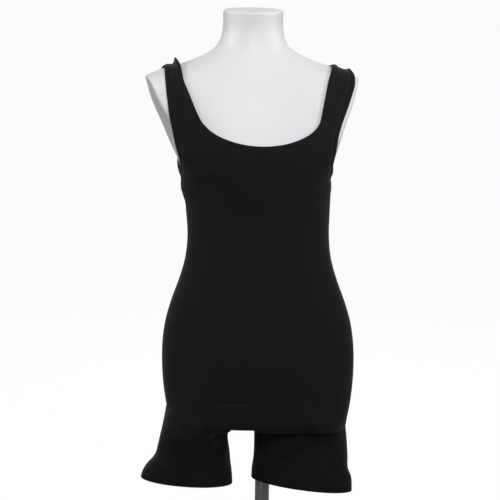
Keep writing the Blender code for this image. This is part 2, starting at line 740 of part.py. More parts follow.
def make_cuff(strap, rib):
    top = 1 - (1 - cuff_share(strap)) * CUFF / (CUFF + CUFF_SEAM)
    turns = np.linspace(0, 1, LEG_COLUMNS + 1)

    def around(side, inward):
        return lambda share: leg_ring(strap, side, inward, mix(top, 1.0, share), BAND)

    places = [around(FRONT, t) for t in turns] + [around(BACK, t) for t in turns[-2:0:-1]]
    return make_band("leg_cuff_" + strap, rib, places, (SIGN[strap], 0, 0))


# ---- dress form and stand -----------------------------------------------------------------------
def form_ring(z):
    """One full section of the form, drawn in where its two ends are rounded."""
    low = max(0.0, FORM_BOTTOM + FORM_EDGE - z)
    high = max(0.0, z - (NECK_TOP - NECK_EDGE))
    inset = FORM_EDGE - math.sqrt(max(0.0, FORM_EDGE**2 - low**2))
    inset += NECK_EDGE - math.sqrt(max(0.0, NECK_EDGE**2 - high**2))
    half = []
    for side in (FRONT, BACK):
        x, y, _ = half_ring(z, side)
        rim = min(np.searchsorted(x, x[-1] - 1.0) / RING_POINTS, 0.8)
        shares = [rim * i / RIM_STEPS for i in range(RIM_STEPS)]
        shares += [mix(rim, 1.0, i / PLATE_STEPS) for i in range(PLATE_STEPS + 1)]
        at, steps = np.array(shares) * (RING_POINTS - 1), np.arange(RING_POINTS)
        line = list(zip(np.interp(at, steps, x), np.interp(at, steps, y)))
        half += line if side == FRONT else line[-2::-1]
    ring = half + [(-x, y) for x, y in half[-2:0:-1]]
    front, back, widest = half[0][1], half[-1][1], max(x for x, _ in half)
    middle, deepest = (front + back) / 2, (back - front) / 2
    slant = NECK_SLANT * max(0.0, (z - NECK_FOOT) / (NECK_TOP - NECK_FOOT))
    points = []
    for x, y in ring:
        y = middle + (y - middle) * (1 - inset / deepest)
        spot = placed(x * (1 - inset / widest), y, z)
        spot[2] += slant * (y - middle)
        points.append(spot)
    return points


def form_heights():
    """Heights of the form's rings, closer where it turns: its lower edge, trunk, chest, shoulders, neck."""
    ends = [FORM_BOTTOM + FORM_EDGE * (1 - math.cos(t)) for t in np.linspace(0, math.pi / 2, 5)]
    rim = [NECK_TOP - NECK_EDGE * (1 - math.sin(t)) for t in np.linspace(0, math.pi / 2, 4)]
    trunk, chest = list(np.arange(384, 736, 25.0)), list(np.arange(738, 900, 13.5))
    shoulders = list(np.arange(903, 945, 8.5)) + list(np.arange(950, 976, 5.0))
    neck = [981, 988, 996, 1006, 1020, 1038]
    return ends + trunk + chest + shoulders + neck + rim


def make_form(skin):
    mesh = bmesh.new()
    loft(mesh, [form_ring(z) for z in form_heights()])
    form = finish("dress_form", mesh, skin)
    cutter = bmesh.new()
    bmesh.ops.create_cone(
        cutter,
        cap_ends=True,
        segments=32,
        radius1=(POLE_RADIUS + POLE_FIT) * MM,
        radius2=(POLE_RADIUS + POLE_FIT) * MM,
        depth=2 * SOCKET_DEPTH * MM,
    )
    bore = finish("pole_bore", cutter, skin)
    bore.location.z = FORM_BOTTOM * MM
    bore.hide_render = True
    bore.display_type = "WIRE"
    cut = form.modifiers.new("socket", "BOOLEAN")
    cut.operation = "DIFFERENCE"
    cut.object = bore
    return form


def make_pole(chrome):
    """A plain tube drawn as a bar, from the hub's bore up into the form's socket."""
    low, high = POLE_SEAT + POLE_FIT, FORM_BOTTOM + SOCKET_DEPTH - POLE_FIT
    mesh = bmesh.new()
    bmesh.ops.create_cone(
        mesh,
        cap_ends=True,
        segments=32,
        radius1=POLE_RADIUS * MM,
        radius2=POLE_RADIUS * MM,
        depth=(high - low) * MM,
    )
    bmesh.ops.translate(mesh, verts=mesh.verts, vec=(0, 0, (low + high) / 2 * MM))
    return finish("stand_pole", mesh, chrome)


def make_base(chrome):
    """The round plate and its hub, one turned piece with a blind bore for the pole."""
    inner = POLE_RADIUS + POLE_FIT
    profile = (
        (0, 0),
        (BASE_RADIUS - 1, 0),
        (BASE_RADIUS, 1),
        (BASE_RADIUS, BASE_THICK - BASE_EDGE),
        (BASE_RADIUS - BASE_EDGE, BASE_THICK),
        (HUB_RADIUS + 4, BASE_THICK + 1.5),
        (HUB_RADIUS, BASE_THICK + 5),
        (HUB_RADIUS, HUB_TOP - 2),
        (HUB_RADIUS - 2, HUB_TOP),
        (inner, HUB_TOP),
        (inner, POLE_SEAT),
        (0, POLE_SEAT),
    )
    mesh = bmesh.new()
    points = [mesh.verts.new((r * MM, 0, z * MM)) for r, z in profile]
    edges = [mesh.edges.new(pair) for pair in zip(points, points[1:])]
    bmesh.ops.spin(
        mesh,
        geom=points + edges,
        axis=(0, 0, 1),
        cent=(0, 0, 0),
        steps=48,
        angle=2 * math.pi,
        use_merge=True,
    )
    bmesh.ops.remove_doubles(mesh, verts=mesh.verts, dist=0.00001)
    bmesh.ops.recalc_face_normals(mesh, faces=mesh.faces)
    return finish("stand_base", mesh, chrome)


def main():
    for leftover in list(bpy.data.objects):
        bpy.data.objects.remove(leftover)
    jersey = material("black_jersey", (0.012, 0.011, 0.014), 0.85)
    rib = material("black_band", (0.010, 0.009, 0.012), 0.8)
    skin = material("white_form", (0.78, 0.78, 0.80), 0.45)
    chrome = material("chrome", (0.62, 0.62, 0.63), 0.12, 1.0)
    make_form(skin)
    make_pole(chrome)
    make_base(chrome)
    make_panel("front_panel", FRONT, jersey)
    make_panel("back_panel", BACK, jersey)
    make_gusset(jersey)
    make_band("neck_band", rib, neck_places(), (0, -1, 0))
    for strap in ("left", "right"):
        make_band("armhole_band_" + strap, rib, arm_places(strap), (0, 0, 1))
        make_cuff(strap, rib)


main()
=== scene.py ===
"""Looks of a black jersey bodysuit worn by a white limbless dress form on its stand, and the studio.

Tables and fields are in millimetres and are turned to metres where a mesh is made. +Z is up, the front
faces -Y, and left and right are the viewer's. The skin and the cut are those of the solids that the
pieces stand for, drawn with a finer net of points and with the smaller creases.
"""

from __future__ import annotations

import functools
import logging
import math
from collections.abc import Callable, Sequence
from dataclasses import dataclass, field
from enum import Enum
from typing import Any, NamedTuple

import bmesh
import bpy
import numpy as np
from mathutils import Matrix, Vector

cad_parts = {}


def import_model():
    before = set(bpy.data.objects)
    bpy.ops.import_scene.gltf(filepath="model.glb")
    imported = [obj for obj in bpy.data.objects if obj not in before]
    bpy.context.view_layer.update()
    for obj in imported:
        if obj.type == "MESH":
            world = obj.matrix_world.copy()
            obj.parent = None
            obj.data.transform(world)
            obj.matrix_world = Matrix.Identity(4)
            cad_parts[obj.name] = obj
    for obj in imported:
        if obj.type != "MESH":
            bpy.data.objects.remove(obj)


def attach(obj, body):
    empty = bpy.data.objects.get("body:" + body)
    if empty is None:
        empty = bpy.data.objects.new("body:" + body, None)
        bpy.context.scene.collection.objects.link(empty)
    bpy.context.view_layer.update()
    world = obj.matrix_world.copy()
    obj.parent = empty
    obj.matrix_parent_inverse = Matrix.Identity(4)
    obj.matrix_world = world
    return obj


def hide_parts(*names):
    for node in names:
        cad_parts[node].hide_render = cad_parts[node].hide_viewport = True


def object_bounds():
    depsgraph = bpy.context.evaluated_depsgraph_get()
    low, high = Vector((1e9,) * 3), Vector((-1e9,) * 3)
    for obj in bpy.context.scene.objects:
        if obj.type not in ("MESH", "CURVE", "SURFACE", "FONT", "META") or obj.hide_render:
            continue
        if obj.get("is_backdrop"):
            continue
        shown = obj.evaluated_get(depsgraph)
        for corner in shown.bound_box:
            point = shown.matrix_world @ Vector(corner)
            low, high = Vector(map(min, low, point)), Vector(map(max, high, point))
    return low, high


Array = np.ndarray
MM = 0.001
MERGE = 0.02  # points of a mesh that lie closer than this many millimetres are merged
SHARP_FROM = math.radians(50)  # faces that meet at more than this are shaded apart
ROUNDED_FROM = math.radians(55)  # and at more than this their edge is rounded, in so many steps
ROUND_STEPS = 3
TINY = 1e-9  # keeps a length that is divided by away from nought
LOG = logging.getLogger("bodysuit")


class Side(Enum):
    """The front and the back of the garment, by the sign of the way they face."""

    FRONT = 1
    BACK = -1


class Strap(Enum):
    """The two straps and their legs, by the sign of x."""

    LEFT = -1
    RIGHT = 1


class Edge(Enum):
    """The two edges of a strap."""

    NECK = "neck"
    ARM = "arm"


# ---- reading the tables -------------------------------------------------------------------------
def smooth(places: Sequence[float], values: Sequence[float], at: Array | float) -> Array:
    """Reads a cubic curve through a table's rows.

    Args:
        places: The rows' places, rising.
        values: The rows' values.
        at: Where to read, one place or an array.

    Returns:
        The values there.
    """
    p, v = np.asarray(places, float), np.asarray(values, float)
    at = np.clip(at, p[0], p[-1])
    run, gap = np.diff(v) / np.diff(p), np.diff(p)
    inner = (run[1:] * gap[:-1] + run[:-1] * gap[1:]) / (gap[1:] + gap[:-1])
    slope = np.concatenate([run[:1], inner, run[-1:]])
    i = np.clip(np.searchsorted(p, at) - 1, 0, len(p) - 2)
    t = (at - p[i]) / gap[i]
    first = (1 + 2 * t) * (1 - t) ** 2 * v[i] + t * (1 - t) ** 2 * gap[i] * slope[i]
    return first + t * t * (3 - 2 * t) * v[i + 1] + t * t * (t - 1) * gap[i] * slope[i + 1]


def mix(a: Any, b: Any, share: Any) -> Any:
    """Goes from a to b by a share."""
    return a + (b - a) * share


def eased(share: Any) -> Any:
    """A share that starts and ends softly."""
    return share * share * (3 - 2 * share)


def hump(off: Any, width: float) -> Array:
    """A soft bell, 1 in its middle, with a half width."""
    return np.exp(-((off / width) ** 2))


@dataclass(frozen=True)
class Table:
    """Rows of named columns, read as smooth curves along the first column."""

    names: str
    rows: tuple[tuple[float, ...], ...]

    def read(self, name: str, at: Array | float) -> Array:
        """One column at values of the first column."""
        column = self.names.split().index(name)
        return smooth([row[0] for row in self.rows], [row[column] for row in self.rows], at)


# ---- the form's skin ----------------------------------------------------------------------------
SECTIONS = Table(
    "height centre half plate edge front back power",
    (
        (342, -8.5, 151.0, 260, 36, 100, 108, 2.5),
        (364, -8.7, 157.5, 260, 36, 103, 112, 2.5),
        (390, -9.0, 161.8, 260, 36, 105, 116, 2.45),
        (440, -9.5, 165.5, 260, 36, 108, 121, 2.4),
        (480, -10.0, 164.5, 260, 36, 108, 120, 2.35),
        (517, -10.7, 159.0, 260, 36, 107, 114, 2.3),
        (552, -11.5, 148.8, 260, 36, 104, 104, 2.3),
        (590, -12.2, 135.0, 260, 36, 100, 93, 2.25),
        (627, -12.6, 124.6, 260, 36, 96, 86, 2.2),
        (665, -12.9, 120.5, 260, 36, 94, 83, 2.2),
        (708, -14.2, 122.0, 260, 36, 98, 84, 2.2),
        (734, -15.4, 123.8, 160, 36, 104, 87, 2.2),
        (747, -17.0, 126.2, 150, 30, 107, 88, 2.2),
        (768, -18.3, 136.0, 131.5, 32, 110.5, 91, 2.15),
        (790, -20.3, 160.0, 129.6, 30, 113, 99, 2.1),
        (821, -22.8, 186.0, 139.2, 22, 113, 106, 2.0),
        (858, -24.6, 200.0, 152.4, 12, 107, 110, 2.0),
        (903, -26.0, 205.0, 171.4, 6, 95, 108, 2.0),
        (937, -25.8, 196.0, 183.2, 6, 82, 98, 2.0),
        (951, -25.4, 172.0, 190, 6, 76, 90, 2.0),
        (968, -25.0, 117.5, 190, 6, 70, 78, 2.0),
        (979, -25.4, 91.0, 190, 6, 66, 72, 2.0),
        (988, -25.4, 74.0, 190, 6, 63.5, 66, 2.0),
        (998, -26.2, 62.5, 190, 6, 61.5, 60, 1.95),
        (1010, -26.2, 56.0, 190, 6, 60, 54, 2.0),
        (1024, -26.4, 52.7, 190, 6, 59, 49, 2.0),
        (1060, -26.7, 52.0, 190, 6, 62, 43, 2.0),
    ),
)


@dataclass
class FormSkin:
    """The dress form's surface: places on it by the way round the body, or by the way over a shoulder."""

    sections: Table = SECTIONS
    turn: float = math.radians(6.5)  # how far the form is turned about its upright axis
    bust: float = 7.0  # how far the bust stands out of the sections
    bust_height: float = 796.0
    bust_aside: float = 72.0
    bust_spread: float = 42.0
    bust_fade: int = 8  # the power that takes the bust away towards the side seams
    ridge_from: float = 903.0  # above this height the sections give the shoulder's crest
    ridge_step: float = 0.25
    shoulder_foot: float = 780.0  # the lines over the shoulder end at this height
    height_range: tuple[float, float] = (330.0, 1064.0)
    ring_points: int = 240
    ring_step: float = 2.0
    strap_step: float = 0.5
    strap_range: tuple[float, float] = (80.0, 190.0)
    drop_range: float = 280.0
    feeler: float = 1.2  # the skin is felt this far on each side of a place for its normal

    def __post_init__(self) -> None:
        """Reads the sections once into nets of rings and of lines over the shoulder."""
        self.heights = np.arange(*self.height_range, self.ring_step)
        self.rings = {side: self._rings(side) for side in Side}
        self.wides = np.arange(*self.strap_range, self.strap_step)
        # one column a millimetre, so that a drop is also its own column in the net
        self.drops = np.arange(0.0, self.drop_range, 1.0)
        self.lines = {side: self._shoulder_lines(side) for side in Side}

    def curve_depth(self, wide: Array, z: Array, side: Side) -> Array:
        """Depth of the section's own curve, before the arm plates cut it.

        Args:
            wide: Distances from the middle.
            z: Heights.
            side: Front or back.

        Returns:
            The depths, below zero in front.
        """
        power = self.sections.read("power", z)
        front, back = self.sections.read("front", z), self.sections.read("back", z)
        share = np.clip(np.abs(wide) / self.sections.read("half", z), 0, 1)
        depth = (back + front) / 2 * (1 - share**power) ** (1 / power)
        rise = sum(hump(wide - aside, self.bust_spread) for aside in (-self.bust_aside, self.bust_aside))
        out = self.bust * rise * hump(z - self.bust_height, self.bust_spread) * (1 - share**self.bust_fade)
        return (back - front) / 2 - side.value * depth - (out if side is Side.FRONT else 0)

    def cut_by_plate(self, wide: Array, z: Array) -> Array:
        """Distance from the middle once the flat arm plate has cut the section's curve.

        Args:
            wide: Distances from the middle.
            z: Heights.

        Returns:
            The distances.
        """
        plate, edge = self.sections.read("plate", z), self.sections.read("edge", z)
        over = np.clip(wide - plate + edge, 0, 2 * edge)
        return np.minimum(wide, plate + edge) - over**2 / (4 * edge)

    def skin_depth(self, x: Array, z: Array, side: Side) -> Array:
        """Depth of the skin at distances from the middle and heights.

        Args:
            x: Distances from the middle.
            z: Heights.
            side: Front or back.

        Returns:
            The depths, below zero in front.
        """
        edge = self.sections.read("edge", z)
        start = self.sections.read("plate", z) - edge
        over = np.clip((x - start) / edge, 0, 1)
        return self.curve_depth(np.minimum(x, start) + 2 * edge * (1 - np.sqrt(1 - over)), z, side)

    def _rings(self, side: Side) -> tuple[Array, Array, Array]:
        """Half sections at every height, evenly spaced: x, depth and the whole way round.

        Args:
            side: Front or back.

        Returns:
            Nets of x and of depth, one row a height, and each row's whole way round.
        """
        z = self.heights[:, None]
        quarter = np.linspace(0, math.pi / 2, self.ring_points)[None, :]
        wide = self.sections.read("half", z) * np.sin(quarter) ** (2 / self.sections.read("power", z))
        x, y = self.cut_by_plate(wide, z), self.curve_depth(wide, z, side)
        steps = np.hypot(np.diff(x, axis=1), np.diff(y, axis=1))
        way = np.concatenate([np.zeros_like(z), np.cumsum(steps, axis=1)], axis=1)
        rows = [np.linspace(0, line[-1], self.ring_points) for line in way]
        x = np.array([np.interp(even, line, row) for even, line, row in zip(rows, way, x)])
        y = np.array([np.interp(even, line, row) for even, line, row in zip(rows, way, y)])
        return x, y, way[:, -1]

    def _shoulder_lines(self, side: Side) -> tuple[Array, Array]:
        """Depth and height at even drops below the shoulder seam, for each distance from the middle.

        Args:
            side: Front or back.

        Returns:
            Nets of depth and of height, one row a distance and one column a drop.
        """
        crest = [row for row in self.sections.rows if row[0] >= self.ridge_from]
        heights = np.arange(crest[0][0], crest[-1][0], self.ridge_step)
        halves = self.sections.read("half", heights)
        rise = np.sin(np.linspace(0, math.pi / 2, self.ring_points)) ** 2
        depths, levels = [], []
        for wide in self.wides:
            top = np.interp(-wide, -halves, heights)
            z = mix(self.shoulder_foot, top, rise)[::-1]
            y = self.skin_depth(np.full_like(z, wide), z, side)
            middle = self.skin_depth(np.array([wide]), z[:1], Side.FRONT)
            y[0] = middle[0]
            way = np.concatenate([[0], np.cumsum(np.hypot(np.diff(y), np.diff(z)))])
            depths.append(np.interp(self.drops, way, y))
            levels.append(np.interp(self.drops, way, z))
        return np.array(depths), np.array(levels)

    @staticmethod
    def _between(table: Array, row: Array, column: Array) -> Array:
        """Reads a net of values between its rows and columns.

        Args:
            table: The net.
            row: Rows, with their fractions.
            column: Columns, with their fractions.

        Returns:
            The values there.
        """
        i = np.clip(row.astype(int), 0, table.shape[0] - 2)
        j = np.clip(column.astype(int), 0, table.shape[1] - 2)
        low = mix(table[i, j], table[i, j + 1], column - j)
        high = mix(table[i + 1, j], table[i + 1, j + 1], column - j)
        return mix(low, high, row - i)

    def girth(self, z: Array | float, side: Side) -> Array:
        """The way round from the middle of the front or back to the side seam."""
        return np.interp(z, self.heights, self.rings[side][2])

    def placed(self, x: Array, y: Array, z: Array) -> Array:
        """From the form's own frame, where it looks straight ahead, to the part's."""
        c, s = math.cos(self.turn), math.sin(self.turn)
        return np.stack([self.sections.read("centre", z) + x * c - y * s, x * s + y * c, z], axis=-1)

    def _ring_spot(self, way: Array, z: Array, side: Side) -> tuple[Array, Array, Array]:
        """Row and column of a place in the net of rings, and its height, all of one shape.

        Args:
            way: Ways round from the middle.
            z: Heights.
            side: Front or back.

        Returns:
            Rows, columns and heights.
        """
        way, z = np.broadcast_arrays(np.asarray(way, float), np.asarray(z, float))
        share = np.minimum(np.abs(way) / self.girth(z, side), 1.0)
        return (z - self.heights[0]) / self.ring_step, share * (self.ring_points - 1), z

    def body(self, way: Array, z: Array, side: Side) -> Array:
        """Places on the skin, a way round from the middle at a height.

        Args:
            way: Ways round from the middle.
            z: Heights.
            side: Front or back.

        Returns:
            The places, three values each.
        """
        row, column, z = self._ring_spot(way, z, side)
        xs, ys, _ = self.rings[side]
        x = np.copysign(self._between(xs, row, column), way)
        return self.placed(x, self._between(ys, row, column), z)

    def around(self, way: Array, z: Array, side: Side) -> Array:
        """The same, but a way past the side seam goes on along the other half.

        Args:
            way: Ways round from the middle.
            z: Heights.
            side: Front or back.

        Returns:
            The places, three values each.
        """
        other = Side.BACK if side is Side.FRONT else Side.FRONT
        over = np.abs(way) - self.girth(z, side)
        past = np.copysign(self.girth(z, other) - over, way)
        return np.where((over > 0)[..., None], self.body(past, z, other), self.body(way, z, side))

    def own_x(self, way: Array, z: Array, side: Side) -> Array:
        """Distance from the middle at a way round, in the form's own front view."""
        row, column, _ = self._ring_spot(way, z, side)
        return np.copysign(self._between(self.rings[side][0], row, column), way)

    def way_at(self, x: Array, z: Array, side: Side) -> Array:
        """The way round from the middle to distances x of the form's own front view.

        Args:
            x: Distances from the middle.
            z: Heights.
            side: Front or back.

        Returns:
            The ways, with the sign of x.
        """
        x, z = np.broadcast_arrays(np.asarray(x, float), np.asarray(z, float))
        found = [self._way(abs(float(a)), float(b), side) for a, b in zip(x.ravel(), z.ravel())]
        return np.copysign(np.array(found).reshape(x.shape), x)

    def _way(self, x: float, z: float, side: Side) -> float:
        """The way round to one distance x.

        Args:
            x: The distance, not below zero.
            z: The height.
            side: Front or back.

        Returns:
            The way.
        """
        xs, _, _ = self.rings[side]
        row = (z - self.heights[0]) / self.ring_step
        i = int(np.clip(row, 0, len(self.heights) - 2))
        line = mix(xs[i], xs[i + 1], row - i)
        return float(np.interp(x, line, np.linspace(0, self.girth(z, side), self.ring_points)))

    def shoulder(self, x: Array, drop: Array, side: Side) -> Array:
        """Places on the skin, a distance below the shoulder seam.

        Args:
            x: Distances from the middle, below zero on the left.
            drop: Distances below the seam.
            side: Front or back.

        Returns:
            The places, three values each.
        """
        x, drop = np.broadcast_arrays(np.asarray(x, float), np.asarray(drop, float))
        row = (np.abs(x) - self.wides[0]) / self.strap_step
        depths, levels = self.lines[side]
        height = self._between(levels, row, drop)
        return self.placed(x, self._between(depths, row, drop), height)

    def drop_at(self, x: Array, z: Array, side: Side) -> Array:
        """The distance below the shoulder seam of heights on the skin.

        Args:
            x: Distances from the middle.
            z: Heights.
            side: Front or back.

        Returns:
            The distances.
        """
        x, z = np.broadcast_arrays(np.asarray(x, float), np.asarray(z, float))
        found = [self._drop(abs(float(a)), float(b), side) for a, b in zip(x.ravel(), z.ravel())]
        return np.array(found).reshape(x.shape)

    @functools.lru_cache(maxsize=None)
    def _drop(self, x: float, z: float, side: Side) -> float:
        """The distance below the shoulder seam of one height.

        Args:
            x: The distance from the middle.
            z: The height.
            side: Front or back.

        Returns:
            The distance.
        """
        row = (x - self.wides[0]) / self.strap_step
        i = int(np.clip(row, 0, len(self.wides) - 2))
        levels = self.lines[side][1]
        line = mix(levels[i], levels[i + 1], row - i)
        return float(np.interp(-z, -line, self.drops))

    def __hash__(self) -> int:
        """One skin is made, so its identity does for the cached drops."""
        return id(self)

    def lifted(self, skin: Callable[..., Array], a: Array, b: Array, side: Side, lift: Any) -> Array:
        """Moves places of the skin out along its normal.

        Args:
            skin: The method that gives the places, body or shoulder.
            a: Its first coordinate.
            b: Its second one.
            side: Front or back.
            lift: How far out, one value or an array.

        Returns:
            The places, one row of three for each.
        """
        step = self.feeler
        wide = self.around if skin == self.body else skin
        across = wide(a + step, b, side) - wide(a - step, b, side)
        low = np.maximum(b - step, 0.0)
        up = skin(a, b + step, side) - skin(a, low, side)
        turn = -side.value if skin == self.shoulder else side.value
        normal = np.cross(across, up) * turn
        size = np.maximum(np.linalg.norm(normal, axis=-1, keepdims=True), TINY)
        return skin(a, b, side) + normal / size * np.asarray(lift, float)[..., None]


# ---- folds --------------------------------------------------------------------------------------
class Fold(NamedTuple):
    """A soft ridge or, below zero, a trough that runs straight between two places of a front view."""

    side: Side
    x0: float
    z0: float
    x1: float
    z1: float
    width: float
    height: float


class Gather(NamedTuple):
    """A ridge along a strap that lies bunched over the shoulder; across runs from the arm's edge."""

    strap: Strap
    across: float
    width: float
    height: float


@dataclass
class Folds:
    """Every crease of the cloth, each placed one by one."""

    legs: tuple[Fold, ...] = (
        Fold(Side.FRONT, -8, 322, 80, 336, 9, -8.0),
        Fold(Side.FRONT, 4, 285, 62, 313, 10, 7.0),
        Fold(Side.FRONT, 22, 270, 108, 322, 10, -7.5),
        Fold(Side.FRONT, 118, 330, 140, 262, 12, 3.5),
        Fold(Side.FRONT, -160, 352, -108, 346, 18, 2.0),
        Fold(Side.FRONT, -108, 344, -93, 300, 12, 4.0),
        Fold(Side.FRONT, -80, 326, -66, 302, 11, -7.0),
        Fold(Side.BACK, -12, 325, 90, 332, 10, -5.0),
        Fold(Side.BACK, 30, 300, 110, 262, 12, 4.0),
        Fold(Side.BACK, -165, 340, -100, 325, 14, 4.0),
        Fold(Side.BACK, -84, 322, -64, 280, 10, -5.0),
    )
    body: tuple[Fold, ...] = (
        Fold(Side.FRONT, -84, 396, -130, 408, 8, -0.4),
        Fold(Side.FRONT, -14, 396, 34, 402, 8, -0.3),
        Fold(Side.FRONT, -150, 776, -142, 735, 28, 2.0),
        Fold(Side.BACK, -150, 776, -142, 735, 28, 2.0),
        Fold(Side.FRONT, 115, 765, 96, 748, 6, 0.5),
        Fold(Side.BACK, 115, 765, 96, 748, 6, 0.5),
        Fold(Side.BACK, -100, 640, -20, 632, 9, 0.9),
        Fold(Side.BACK, 20, 618, 100, 628, 9, 0.7),
        Fold(Side.BACK, -90, 600, 10, 596, 8, -0.6),
        Fold(Side.BACK, -60, 400, -150, 384, 10, -0.8),
        Fold(Side.BACK, -20, 398, 90, 380, 10, -0.8),
    )
    gathers: tuple[Gather, ...] = (
        Gather(Strap.LEFT, 0.88, 0.12, 9.5),
        Gather(Strap.LEFT, 0.28, 0.28, 1.6),
        Gather(Strap.LEFT, 0.60, 0.07, -0.9),
        Gather(Strap.RIGHT, 0.86, 0.12, 1.8),
        Gather(Strap.RIGHT, 0.15, 0.08, 2.6),
        Gather(Strap.RIGHT, 0.45, 0.10, -0.4),
    )
    gather_reach: float = 34.0  # the gathers fade out this far below the shoulder seam
    strap_lift: float = 0.1  # what a strap is raised by at the shoulder besides its gathers
    full: float = 0.4  # a fold keeps its height up to this share of its length from its middle
    fade: float = 0.25  # and fades beyond over about this share

    def rise(self, folds: tuple[Fold, ...], side: Side, x: Array, z: Array) -> Array:
        """The sum of some folds at places of the front or back view.

        Args:
            folds: The folds to add up.
            side: Front or back.
            x: Places across.
            z: Heights.

        Returns:
            How far the cloth is raised there.
        """
        total = np.zeros(np.broadcast(x, z).shape)
        for f in folds:
            if f.side is not side:
                continue
            run_x, run_z = f.x1 - f.x0, f.z1 - f.z0
            long = math.hypot(run_x, run_z)
            along = ((x - f.x0) * run_x + (z - f.z0) * run_z) / long**2
            beside = ((x - f.x0) * run_z - (z - f.z0) * run_x) / long
            end = hump(np.maximum(0.0, np.abs(along - 0.5) - self.full), self.fade)
            total += f.height * end * hump(beside, f.width)
        return total

    def bunch(self, strap: Strap, across: Array, drop: Array) -> Array:
        """How far a bunched strap stands off the shoulder."""
        ridges = [g.height * hump(across - g.across, g.width) for g in self.gathers if g.strap is strap]
        return (self.strap_lift + sum(ridges)) * hump(drop, self.gather_reach)


# ---- the cut ------------------------------------------------------------------------------------
class Scoop(NamedTuple):
    """Half an ellipse in the form's own front view: the neck's scoop."""

    half_width: float
    depth: float
    centre: float
    aside: float


class Crotch(NamedTuple):
    """One end of the gusset: its two edges, its depth and its height."""

    left: float
    right: float
    depth: float
    height: float


